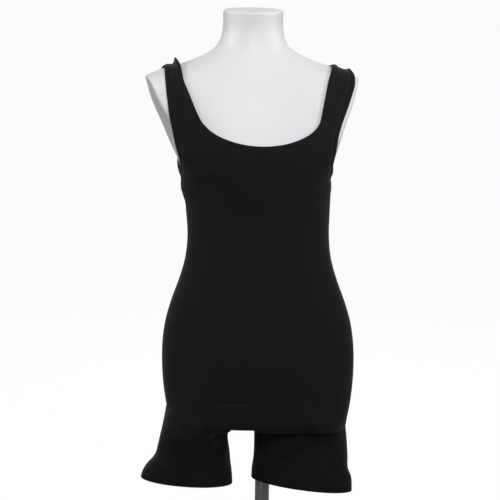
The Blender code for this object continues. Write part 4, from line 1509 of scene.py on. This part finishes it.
# ---- the garment --------------------------------------------------------------------------------
@dataclass
class Panel:
    """The front or the back, from the shoulder seams to the cuffs: body, chest, straps and leg fronts."""

    cut: Cut
    side: Side
    flat: tuple[float, float]
    area: float
    fine: int = 4
    body_rows: int = 80
    chest_rows: int = 15
    turn_rows: int = 30
    leg_rows: int = 24
    inside: tuple[float, float, float] = (-20.0, 0.0, 600.0)  # the cloth faces away from this place

    @property
    def name(self) -> str:
        """The solid that it stands for."""
        return f"{self.side.name.lower()}_panel"

    def build(self, material: bpy.types.Material) -> bpy.types.Object:
        """Args:
            material: The piece's material.

        Returns:
            The object.
        """
        mesh = bmesh.new()
        self._body(mesh)
        self._chest(mesh)
        for strap in Strap:
            self._strap(mesh, strap)
            self._leg(mesh, strap)
        face_away(mesh, self.inside)
        made = finish_piece(self.name + "_jersey", mesh, material, [self.name], self.cut.cloth)
        self.flat
        self.area
        return made

    def _settled(self, way: Array, z: Array) -> Array:
        """Places on this side of the cloth's outer face."""
        return self.cut.settled(way, z, self.side, self.cut.outer)

    def _body(self, mesh: bmesh.types.BMesh) -> None:
        """From the hips to the row under the arms.

        Args:
            mesh: What the net is added to.
        """
        cut, skin = self.cut, self.cut.skin
        across, along = shares(cut.panel_columns * self.fine, self.body_rows)
        low, high = (row(across * cut.panel_columns, self.side) for row in (cut.hip_point, cut.arm_row))
        z = mix(low[1], high[1], along)
        first, last = (way / skin.girth(height, self.side) for way, height in (low, high))
        add_net(mesh, self._settled(mix(first, last, eased(along)) * skin.girth(z, self.side), z))

    def _chest(self, mesh: bmesh.types.BMesh) -> None:
        """From the row under the arms to the scoop and the feet of the straps.

        Args:
            mesh: What the net is added to.
        """
        cut, side = self.cut, self.side
        count, out = cut.panel_columns - 2 * cut.arm_columns, cut.arm_band + cut.seam
        across, along = shares(count * self.fine, self.chest_rows)

        def ends(z: Array) -> tuple[Array, Array]:
            """Ways to the two armhole bands at heights."""
            return out - cut.arm_way(Strap.LEFT, side, z), cut.arm_way(Strap.RIGHT, side, z) - out

        def share_of(way: Array, z: Array) -> Array:
            """Where ways lie between the two bands, 0 to 1."""
            left, right = ends(z)
            return (way - left) / (right - left)

        low = cut.arm_row(across * count + cut.arm_columns, side)
        way, height, spot = self._foot_row(across * count, count)
        z = mix(low[1], height, along)
        share = mix(share_of(*low), share_of(way, height), along)
        missed = spot - self._settled(way, height)
        net = self._settled(mix(*ends(z), share), z) + missed * (along**2)[..., None]
        add_net(mesh, net)

    def _foot_row(self, at: Array, count: int) -> tuple[Array, Array, Array]:
        """The row through the scoop and the feet of the straps: way, height and the places.

        Args:
            at: Columns from the left armhole's band, with their fractions.
            count: How many columns there are.

        Returns:
            The ways round, the heights and the places.
        """
        cut, side, skin = self.cut, self.side, self.cut.skin
        inner = np.clip((at - cut.strap_columns) / (count - 2 * cut.strap_columns), 0, 1)
        turn = mix(-cut.scoop_turn, cut.scoop_turn, inner)
        way, z = cut.scoop_point(side, turn, cut.neck_band + cut.seam)
        spot = self._settled(way, z)
        for strap, column in ((Strap.LEFT, at), (Strap.RIGHT, count - at)):
            inside = column < cut.strap_columns
            share = np.clip(column / cut.strap_columns, 0, 1)
            strap_spot, x, height = cut.strap_place(strap, side, np.zeros_like(share), share)
            strap_way = strap.value * skin.way_at(x, height, side)
            way, z = np.where(inside, strap_way, way), np.where(inside, height, z)
            spot = np.where(inside[..., None], strap_spot, spot)
        return way, z, spot

    def _strap(self, mesh: bmesh.types.BMesh, strap: Strap) -> None:
        """One strap's half, up to the shoulder seam.

        Args:
            mesh: What the net is added to.
            strap: Which strap.
        """
        cut = self.cut
        across, along = shares(cut.strap_columns * self.fine, cut.strap_rows * self.fine)
        inward = across if strap is Strap.LEFT else 1 - across
        add_net(mesh, cut.strap_place(strap, self.side, along, inward)[0])

    def _leg(self, mesh: bmesh.types.BMesh, strap: Strap) -> None:
        """One leg's half: under the form's edge, then down to the cuff.

        Args:
            mesh: What the net is added to.
            strap: Whose leg.
        """
        cut, side = self.cut, self.side
        across, along = shares(cut.leg_columns * self.fine, self.turn_rows)
        inward = across if strap is Strap.LEFT else 1 - across
        columns = cut.leg_columns * inward
        at = columns if strap is Strap.LEFT else cut.panel_columns - columns
        start = self._settled(*cut.hip_point(at, side))
        net = cut.turned_under(strap, start, self._leg_place(strap, inward, 0.0), 1 - along, inward)
        fade = np.sin(math.pi * along) * np.sin(math.pi * inward)
        net[..., 1] -= side.value * cut.folds.rise(cut.folds.legs, side, net[..., 0], net[..., 2]) * fade
        add_net(mesh, net)
        across, along = shares(cut.leg_columns * self.fine, self.leg_rows)
        inward = across if strap is Strap.LEFT else 1 - across
        add_net(mesh, self._leg_place(strap, inward, (1 - along) * cut.cuff_share(strap)))

    def _leg_place(self, strap: Strap, inward: Array, share: Any) -> Array:
        """Places on the leg's outer face, its edges half a seam's gap inside this half.

        Args:
            strap: Whose leg.
            inward: 0 at the outer seam, 1 at the inner one.
            share: 0 at the crotch, 1 at the hem.

        Returns:
            The places, three values each.
        """
        cut = self.cut
        spot = cut.leg_ring(strap, self.side, inward, share, 0.0)
        near = np.maximum(0.0, 1 - np.minimum(inward, 1 - inward) * cut.leg_columns * self.fine)
        spot[..., 1] -= self.side.value * cut.seam / 2 * near
        return spot


@dataclass
class Gusset:
    """The strip let in between the legs, from its front seam under the form to its back seam."""

    cut: Cut
    flat: tuple[float, float] = (0.05, 0.27)
    fine: int = 5
    rows: int = 30
    inside: tuple[float, float, float] = (-36.0, 0.0, 420.0)  # the cloth faces away from this place

    def build(self, material: bpy.types.Material) -> bpy.types.Object:
        """Args:
            material: The piece's material.

        Returns:
            The object.
        """
        cut, skin, under = self.cut, self.cut.skin, self.cut.gusset_under
        mesh = bmesh.new()
        across, along = shares(cut.gusset_columns * self.fine, self.rows)
        for side in Side:
            left, right = (cut.gusset_end(side, strap, cut.seam / 2) for strap in Strap)
            way = mix(left[0], right[0], across)
            start = skin.lifted(skin.body, way, np.full_like(way, left[1]), side, cut.outer)
            x = mix(under.left + cut.seam, under.right - cut.seam, across)
            end = np.stack([x, np.zeros_like(x), np.full_like(x, under.height)], axis=-1)
            share = along if side is Side.FRONT else 1 - along
            add_net(mesh, cut.turned_under(Strap.LEFT, start, end, share, np.ones_like(share)))
        bmesh.ops.remove_doubles(mesh, verts=mesh.verts, dist=MERGE * MM)
        face_away(mesh, self.inside)
        made = finish_piece("crotch_gusset_jersey", mesh, material, ["crotch_gusset"], cut.cloth)
        self.flat
        return made


@dataclass
class Bands:
    """The folded bands round the neck and the armholes, and the doubled cuffs."""

    cut: Cut
    fine: int = 5
    rows: int = 8
    plump: float = 0.45  # how far a band's middle swells
    drawn_in: float = 0.3  # the share of its width over which it is drawn in to its seam
    edge: float = 0.5  # how round its folded edges are
    ditch: float = 0.5  # depth of the ditch at a cuff's seam, and its width as a share of the cuff's
    ditch_width: float = 0.06
    neck_middle: tuple[float, float, float] = (-20.0, 0.0, 860.0)  # a band faces away from its middle
    arm_middle: tuple[float, float, float] = (-20.0, 0.0, 850.0)
    neck_flat: tuple[float, float] = (1.28, 0.0115)
    arm_flat: tuple[float, float] = (0.50, 0.01)
    cuff_flat: tuple[float, float] = (0.38, 0.031)

    def _lift(self, share: float) -> float:
        """The band's outer face: a little plump, and drawn in at its seam.

        Args:
            share: 0 at the cut edge, 1 at the seam.

        Returns:
            How far off the form it lies.
        """
        cut = self.cut
        near_seam = max(0.0, (share - (1 - self.drawn_in)) / self.drawn_in)
        fall = (cut.band - cut.cloth) * eased(near_seam)
        return cut.clear + cut.band + self.plump * math.sin(math.pi * share) - fall

    def _ring_band(
        self,
        name: str,
        rings: Sequence[Array],
        centre: Sequence[float],
        material: bpy.types.Material,
        flat: tuple[float, float],
        node: str,
    ) -> bpy.types.Object:
        """Args:
            name: The piece's name.
            rings: Closed lines from its one edge to the other.
            centre: A place that it faces away from.
            material: The piece's material.
            flat: Its flat length and width in metres; not used.
            node: The solid that it stands for.

        Returns:
            The object.
        """
        mesh = bmesh.new()
        add_net(mesh, closed(rings))
        face_away(mesh, centre)
        made = finish_piece(name, mesh, material, [node], self.cut.band, self.edge)
        return made

    def neck(self, material: bpy.types.Material) -> bpy.types.Object:
        """The neckline's band.

        Args:
            material: The piece's material.

        Returns:
            The object.
        """
        cut = self.cut
        across = np.linspace(0, 1, self.rows + 1)
        rings = [cut.neck_line(t * cut.neck_band, self._lift(t), self.fine) for t in across]
        return self._ring_band(
            "neck_band_knit", rings, self.neck_middle, material, self.neck_flat, "neck_band"
        )

    def arm(self, strap: Strap, material: bpy.types.Material) -> bpy.types.Object:
        """One armhole's band.

        Args:
            strap: Whose armhole.
            material: The piece's material.

        Returns:
            The object.
        """
        cut, name = self.cut, f"armhole_band_{strap.name.lower()}"
        across = np.linspace(0, 1, self.rows + 1)
        rings = [cut.arm_line(strap, t * cut.arm_band, self._lift(t), self.fine) for t in across]
        return self._ring_band(name + "_knit", rings, self.arm_middle, material, self.arm_flat, name)

    def leg(self, strap: Strap, material: bpy.types.Material) -> bpy.types.Object:
        """One leg's cuff.

        Args:
            strap: Whose leg.
            material: The piece's material.

        Returns:
            The object.
        """
        cut, name = self.cut, f"leg_cuff_{strap.name.lower()}"
        top = 1 - (1 - cut.cuff_share(strap)) * cut.cuff / (cut.cuff + cut.seam)
        rings = []
        for t in np.linspace(0, 1, 2 * self.rows + 1):
            inset = self.ditch * float(hump(t, self.ditch_width)) - self.plump * math.sin(math.pi * t)
            rings.append(cut.cuff_line(strap, mix(top, 1.0, t), inset, self.fine))
        middle = rings[0].mean(axis=0)
        return self._ring_band(name + "_knit", rings, middle, material, self.cuff_flat, name)


@dataclass
class Stitching:
    """Twin rows of thread along the bands' seams, each stitch a short, plump length of it."""

    cut: Cut
    pitch: float = 3.0
    length: float = 2.3
    thick: float = 0.45
    proud: float = 0.15  # the share of its thickness that a stitch's middle stands off the cloth
    beside: float = 1.6  # how far each row runs beside its seam
    band_rise: float = 0.35  # the row on the band lies this much higher
    fine: int = 8

    def _row(self, mesh: bmesh.types.BMesh, line: Array, out: Array) -> None:
        """Lays stitches along a closed line, flat on the cloth.

        Args:
            mesh: What they are added to.
            line: The line's places.
            out: The way the cloth faces at each of them.
        """
        loop = np.concatenate([line, line[:1]])
        normals = np.concatenate([out, out[:1]])
        way = np.concatenate([[0], np.cumsum(np.linalg.norm(np.diff(loop, axis=0), axis=-1))])
        count = int(way[-1] / self.pitch)
        for at in (np.arange(count) + 0.5) * way[-1] / count:
            start, end, look = (
                Vector([float(np.interp(w, way, values[:, axis])) for axis in range(3)])
                for values, w in ((loop, at - self.length / 2), (loop, at + self.length / 2), (normals, at))
            )
            run = (end - start).normalized()
            look = (look - run * look.dot(run)).normalized()
            turn = Matrix((run, look.cross(run), look)).transposed().to_4x4()
            shape = Matrix.Diagonal((self.length / 2, self.thick / 2, self.thick / 2, 1))
            place = Matrix.Translation((start + end) / 2)
            bmesh.ops.create_icosphere(
                mesh, subdivisions=1, radius=1.0, matrix=Matrix.Scale(MM, 4) @ place @ turn @ shape
            )

    def build(
        self, name: str, line: Callable[[float, float], Array], seam: float, material: bpy.types.Material
    ) -> bpy.types.Object:
        """Makes the two rows at one seam.

        Args:
            name: The piece's name.
            line: Gives the closed line at a distance from the cut edge and a lift off the form.
            seam: The seam's distance from the cut edge.
            material: The thread.

        Returns:
            The object.
        """
        mesh = bmesh.new()
        level = self.cut.outer + self.thick * self.proud
        for out, lift in ((seam + self.beside, level), (seam - self.beside, level + self.band_rise)):
            # the same line a millimetre higher gives the way that the cloth faces
            low, high = line(out, lift), line(out, lift + 1.0)
            self._row(mesh, low, high - low)
        bmesh.ops.recalc_face_normals(mesh, faces=mesh.faces)
        return finish_piece(name, mesh, material)


# ---- the form and its stand ---------------------------------------------------------------------
@dataclass
class DressForm:
    """The limbless form: torso, shoulders with flat arm plates, and neck."""

    skin: FormSkin
    bottom: float = 342.0  # the two ends and the radii of their edges
    bottom_edge: float = 18.0
    neck_top: float = 1060.0
    neck_edge: float = 5.0
    neck_foot: float = 1010.0  # from here up the neck slants, to this much at its top
    neck_slant: float = 0.06
    ring_spacing: float = 4.0
    ridge: tuple[float, float] = (915.0, 1000.0)  # the shoulders' crest, with its rings closer
    ridge_spacing: float = 1.25
    rim_steps: int = 34
    plate_steps: int = 14
    plate_rim: float = 1.0  # a section's flat plate begins this near its widest point
    plate_from: float = 0.8  # or at this share of the way round, if that comes first
    edge_steps: int = 8
    cap_rings: int = 5
    cap_hole: float = 0.1  # size of an end face's innermost ring, whose hole is filled
    # how far the left arm plate is turned inwards at its front, over what depth and width
    lean: Table = Table(
        "height inwards", ((790, 0), (830, 9.0), (871, 9.0), (905, 6.5), (937, 3.0), (951, 0.0))
    )
    lean_depth: float = 120.0
    lean_width: float = 45.0

    def _ring(self, z: float, shrink: float = 1.0) -> Array:
        """One full section, drawn in where the ends are rounded and, on the end faces, by shrink.

        Args:
            z: Its height.
            shrink: What its size is multiplied by.

        Returns:
            The closed section's places, the first of them once.
        """
        low = max(0.0, self.bottom + self.bottom_edge - z)
        high = max(0.0, z - (self.neck_top - self.neck_edge))
        inset = self.bottom_edge - math.sqrt(max(0.0, self.bottom_edge**2 - low**2))
        inset += self.neck_edge - math.sqrt(max(0.0, self.neck_edge**2 - high**2))
        half = []
        for side in Side:
            xs, ys, _ = self.skin.rings[side]
            row = (z - self.skin.heights[0]) / self.skin.ring_step
            i = int(np.clip(row, 0, len(self.skin.heights) - 2))
            x, y = mix(xs[i], xs[i + 1], row - i), mix(ys[i], ys[i + 1], row - i)
            rim = min(np.searchsorted(x, x[-1] - self.plate_rim) / len(x), self.plate_from)
            at = np.concatenate(
                [np.linspace(0, rim, self.rim_steps, endpoint=False), np.linspace(rim, 1, self.plate_steps)]
            ) * (len(x) - 1)
            steps = np.arange(len(x))
            line = np.stack([np.interp(at, steps, x), np.interp(at, steps, y)], axis=-1)
            half.append(line if side is Side.FRONT else line[-2::-1])
        ring = np.concatenate(half)
        ring = np.concatenate([ring, ring[-2:0:-1] * (-1, 1)])
        ring[:, 0] += self._leaned(ring, z)
        front, back = ring[:, 1].min(), ring[:, 1].max()
        middle, deepest = (front + back) / 2, (back - front) / 2
        x = ring[:, 0] * (1 - inset / np.abs(ring[:, 0]).max()) * shrink
        y = middle + (ring[:, 1] - middle) * (1 - inset / deepest) * shrink
        spot = self.skin.placed(x, y, np.full_like(x, z))
        rise = self.neck_slant * max(0.0, (z - self.neck_foot) / (self.neck_top - self.neck_foot))
        spot[:, 2] += rise * (y - middle)
        return spot

    def _leaned(self, ring: Array, z: float) -> Array:
        """How far the left arm plate is turned inwards at its front edge, which shows it to the lens.

        Args:
            ring: A section's x and depth.
            z: Its height.

        Returns:
            What is added to each x.
        """
        edge = -ring[:, 0].min()
        near = eased(np.clip((-ring[:, 0] - edge + self.lean_width) / self.lean_width, 0, 1))
        ahead = np.clip((self.lean_depth / 2 - ring[:, 1]) / self.lean_depth, 0, 1)
        return self.lean.read("inwards", z) * near * ahead

    def build(self, material: bpy.types.Material) -> bpy.types.Object:
        """Makes the form's shell as one closed body.

        Args:
            material: The piece's material.

        Returns:
            The object.
        """
        low, high = self.bottom + self.bottom_edge, self.neck_top - self.neck_edge
        quarter = np.linspace(0, math.pi / 2, self.edge_steps + 1)
        heights = [self.bottom + self.bottom_edge * (1 - math.cos(t)) for t in quarter]
        runs = ((low, self.ridge[0], self.ring_spacing), (*self.ridge, self.ridge_spacing))
        for start, end, step in (*runs, (self.ridge[1], high, self.ring_spacing)):
            heights += list(np.linspace(start, end, int((end - start) / step), endpoint=False))
        heights.remove(low)
        heights += [high + self.neck_edge * math.sin(t) for t in quarter]
        caps = np.linspace(self.cap_hole, 1, self.cap_rings, endpoint=False)
        rings = [self._ring(self.bottom, t) for t in caps]
        rings += [self._ring(z) for z in heights]
        rings += [self._ring(self.neck_top, t) for t in caps[::-1]]
        mesh = bmesh.new()
        add_net(mesh, closed(rings))
        bmesh.ops.remove_doubles(mesh, verts=mesh.verts, dist=MERGE * MM)
        bmesh.ops.holes_fill(mesh, edges=mesh.edges, sides=0)
        bmesh.ops.recalc_face_normals(mesh, faces=mesh.faces)
        return finish_piece("dress_form_shell", mesh, material, ["dress_form"])


@dataclass
class Stand:
    """The round base plate with its hub, and the pole between hub and form."""

    pole_radius: float = 12.5
    pole_low: float = 4.3
    pole_high: float = 401.7
    pole_edge: float = 0.8
    pole_sides: int = 64
    base_radius: float = 150.0
    base_thick: float = 10.0
    base_edge: float = 3.0  # how round the plate's upper edge is, and the place of its middle corner
    base_corner: float = 0.3
    foot_edge: float = 1.0
    # steps of radius and height from the hub's foot, which is hollow, and from its rounded rim
    hub_foot: tuple[tuple[float, float], ...] = ((4.0, 1.5), (1.2, 2.8), (0.0, 5.0))
    hub_rim: tuple[tuple[float, float], ...] = ((0.0, 2.0), (0.6, 0.6), (2.0, 0.0))
    hub_radius: float = 24.0
    hub_top: float = 30.0
    fit: float = 0.3  # play all round the pole in the hub's bore, whose floor is the seat
    seat: float = 4.0
    steps: int = 128

    def pole(self, material: bpy.types.Material) -> bpy.types.Object:
        """The pole, its ends broken by a small bevel.

        Args:
            material: The piece's material.

        Returns:
            The object.
        """
        mesh = bmesh.new()
        bmesh.ops.create_cone(
            mesh,
            cap_ends=True,
            segments=self.pole_sides,
            radius1=self.pole_radius * MM,
            radius2=self.pole_radius * MM,
            depth=(self.pole_high - self.pole_low) * MM,
        )
        bmesh.ops.translate(mesh, verts=mesh.verts, vec=(0, 0, (self.pole_low + self.pole_high) / 2 * MM))
        rims = [
            edge
            for way in (1, -1)
            for edge in mesh.edges
            if len({way * face.normal.z > 0.5 for face in edge.link_faces}) > 1
        ]
        bmesh.ops.bevel(
            mesh,
            geom=rims,
            offset=self.pole_edge * MM,
            affect="EDGES",
            segments=2,
            profile=0.5,
            material=-1,
        )
        return finish_piece("stand_pole_chrome", mesh, material, ["stand_pole"])

    def base(self, material: bpy.types.Material) -> bpy.types.Object:
        """The plate and its hub, turned in one piece from a profile of radii and heights.

        Args:
            material: The piece's material.

        Returns:
            The object.
        """
        inner, corner = self.pole_radius + self.fit, self.base_edge * self.base_corner
        profile = (
            (0, 0),
            (self.base_radius - self.foot_edge, 0),
            (self.base_radius, self.foot_edge),
            (self.base_radius, self.base_thick - self.base_edge),
            (self.base_radius - corner, self.base_thick - corner),
            (self.base_radius - self.base_edge, self.base_thick),
            *((self.hub_radius + r, self.base_thick + z) for r, z in self.hub_foot),
            *((self.hub_radius - r, self.hub_top - z) for r, z in self.hub_rim),
            (inner, self.hub_top),
            (inner, self.seat),
            (0, self.seat),
        )
        mesh = bmesh.new()
        points = [mesh.verts.new((r * MM, 0, z * MM)) for r, z in profile]
        edges = [mesh.edges.new(pair) for pair in zip(points, points[1:])]
        bmesh.ops.spin(
            mesh,
            geom=points + edges,
            axis=(0, 0, 1),
            cent=(0, 0, 0),
            steps=self.steps,
            angle=math.tau,
            use_merge=True,
        )
        bmesh.ops.remove_doubles(mesh, verts=mesh.verts, dist=MERGE / 2 * MM)
        bmesh.ops.recalc_face_normals(mesh, faces=mesh.faces)
        return finish_piece("stand_base_chrome", mesh, material, ["stand_base"])


# ---- the studio ---------------------------------------------------------------------------------
@dataclass
class SoftBox:
    """A square area light that looks at a place; sizes and places are in metres."""

    name: str
    place: tuple[float, float, float]
    looks_at: tuple[float, float, float]
    size: float
    power: float
    spread: float = math.radians(160)

    def build(self) -> None:
        """Makes the light."""
        light = bpy.data.lights.new(self.name, "AREA")
        light.spread = self.spread
        light.shape = "SQUARE"
        light.size = self.size
        light.energy = self.power
        made = bpy.data.objects.new(self.name, light)
        made.location = self.place
        made.rotation_euler = (Vector(self.looks_at) - Vector(self.place)).to_track_quat("-Z", "Y").to_euler()
        bpy.context.scene.collection.objects.link(made)


@dataclass
class Studio:
    """Floor, lights and the camera; sizes and places are in metres."""

    floor_radius: float = 150.0
    floor_sides: int = 96
    floor_drop: float = 0.0005  # the paper lies this far under the base plate
    ambient: float = 0.3
    lights: tuple[SoftBox, ...] = (
        SoftBox("key_softbox", (0.25, -2.2, 1.95), (-0.02, 0, 1.2), 1.4, 6.3, math.radians(54)),
        SoftBox("left_softbox", (-2.2, -0.3, 1.5), (-0.02, 0, 1.0), 0.9, 4.2, math.radians(72)),
        SoftBox("right_softbox", (2.2, -0.3, 1.5), (-0.02, 0, 1.0), 0.9, 4.2, math.radians(72)),
        SoftBox("low_softbox", (-0.6, -1.9, 0.35), (-0.04, 0, 0.15), 0.7, 0.3, math.radians(36)),
        SoftBox("back_softbox", (0.2, 3.0, 2.2), (-0.02, 0, 0.8), 2.4, 14.0),
    )
    aim: tuple[float, float] = (-0.0264, 0.641)  # x and height of the picture's middle
    distance: float = 4.0
    tilt: float = math.radians(7.0)
    roll: float = math.radians(0.7)
    lens: float = 164.57  # focal length and sensor width in millimetres
    sensor: float = 36.0

    def build(self, floor: bpy.types.Material) -> None:
        """Makes the floor, the world's soft light, the soft boxes and the camera.

        Args:
            floor: The floor's material.
        """
        mesh = bmesh.new()
        bmesh.ops.create_circle(mesh, cap_ends=True, segments=self.floor_sides, radius=self.floor_radius)
        data = bpy.data.meshes.new("studio_floor")
        mesh.to_mesh(data)
        mesh.free()
        data.materials.append(floor)
        ground = bpy.data.objects.new("studio_floor", data)
        ground.location.z = -self.floor_drop
        bpy.context.scene.collection.objects.link(ground)
        ground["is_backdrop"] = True
        world = bpy.data.worlds.new("studio")
        world.use_nodes = True
        sky = world.node_tree.nodes["Background"]
        sky.inputs["Color"].default_value = (1, 1, 1, 1)
        sky.inputs["Strength"].default_value = self.ambient
        bpy.context.scene.world = world
        for light in self.lights:
            light.build()
        self._camera()

    def _camera(self) -> None:
        """The camera, above the waist and looking a little down on it."""
        lens = bpy.data.cameras.new("camera")
        lens.lens, lens.sensor_width = self.lens, self.sensor
        camera = bpy.data.objects.new("camera", lens)
        x, z = self.aim
        camera.location = (
            x,
            -self.distance * math.cos(self.tilt),
            z + self.distance * math.sin(self.tilt),
        )
        turn = Matrix.Rotation(math.pi / 2 - self.tilt, 3, "X") @ Matrix.Rotation(self.roll, 3, "Z")
        camera.rotation_euler = turn.to_euler()
        bpy.context.scene.collection.objects.link(camera)
        bpy.context.scene.camera = camera


def main() -> None:
    """Builds every piece in order."""
    logging.basicConfig(level=logging.INFO, format="%(name)s %(message)s")
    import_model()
    solid_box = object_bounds()
    bpy.context.scene.view_settings.view_transform = "Standard"
    jersey, rib = JerseyKnit("black_cotton_jersey").build(), JerseyKnit("black_folded_jersey").build()
    thread = SewingThread("black_polyester_thread").build()
    chrome = ChromePlate("polished_chrome_plate").build()
    lacquer = SatinPlastic("white_satin_lacquer").build()

    cut = Cut()
    DressForm(cut.skin).build(lacquer)
    stand = Stand()
    stand.pole(chrome)
    stand.base(chrome)
    Panel(cut, Side.FRONT, flat=(0.44, 0.72), area=0.215).build(jersey)
    Panel(cut, Side.BACK, flat=(0.46, 0.72), area=0.225).build(jersey)
    Gusset(cut).build(jersey)
    bands = Bands(cut)
    bands.neck(rib)
    stitching = Stitching(cut)
    fine = stitching.fine
    stitching.build(
        "neckline_stitching", lambda out, lift: cut.neck_line(out, lift, fine), cut.neck_band, thread
    )
    for strap in Strap:
        bands.arm(strap, rib)
        bands.leg(strap, rib)
        stitching.build(
            f"armhole_stitching_{strap.name.lower()}",
            lambda out, lift, strap=strap: cut.arm_line(strap, out, lift, fine),
            cut.arm_band,
            thread,
        )
    Studio().build(StudioFloor("white_studio_paper").build())

    boxes = {"solids": solid_box, "dressed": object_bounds()}
    {name: [list(corner) for corner in box] for name, box in boxes.items()}


if __name__ == "__main__":
    main()
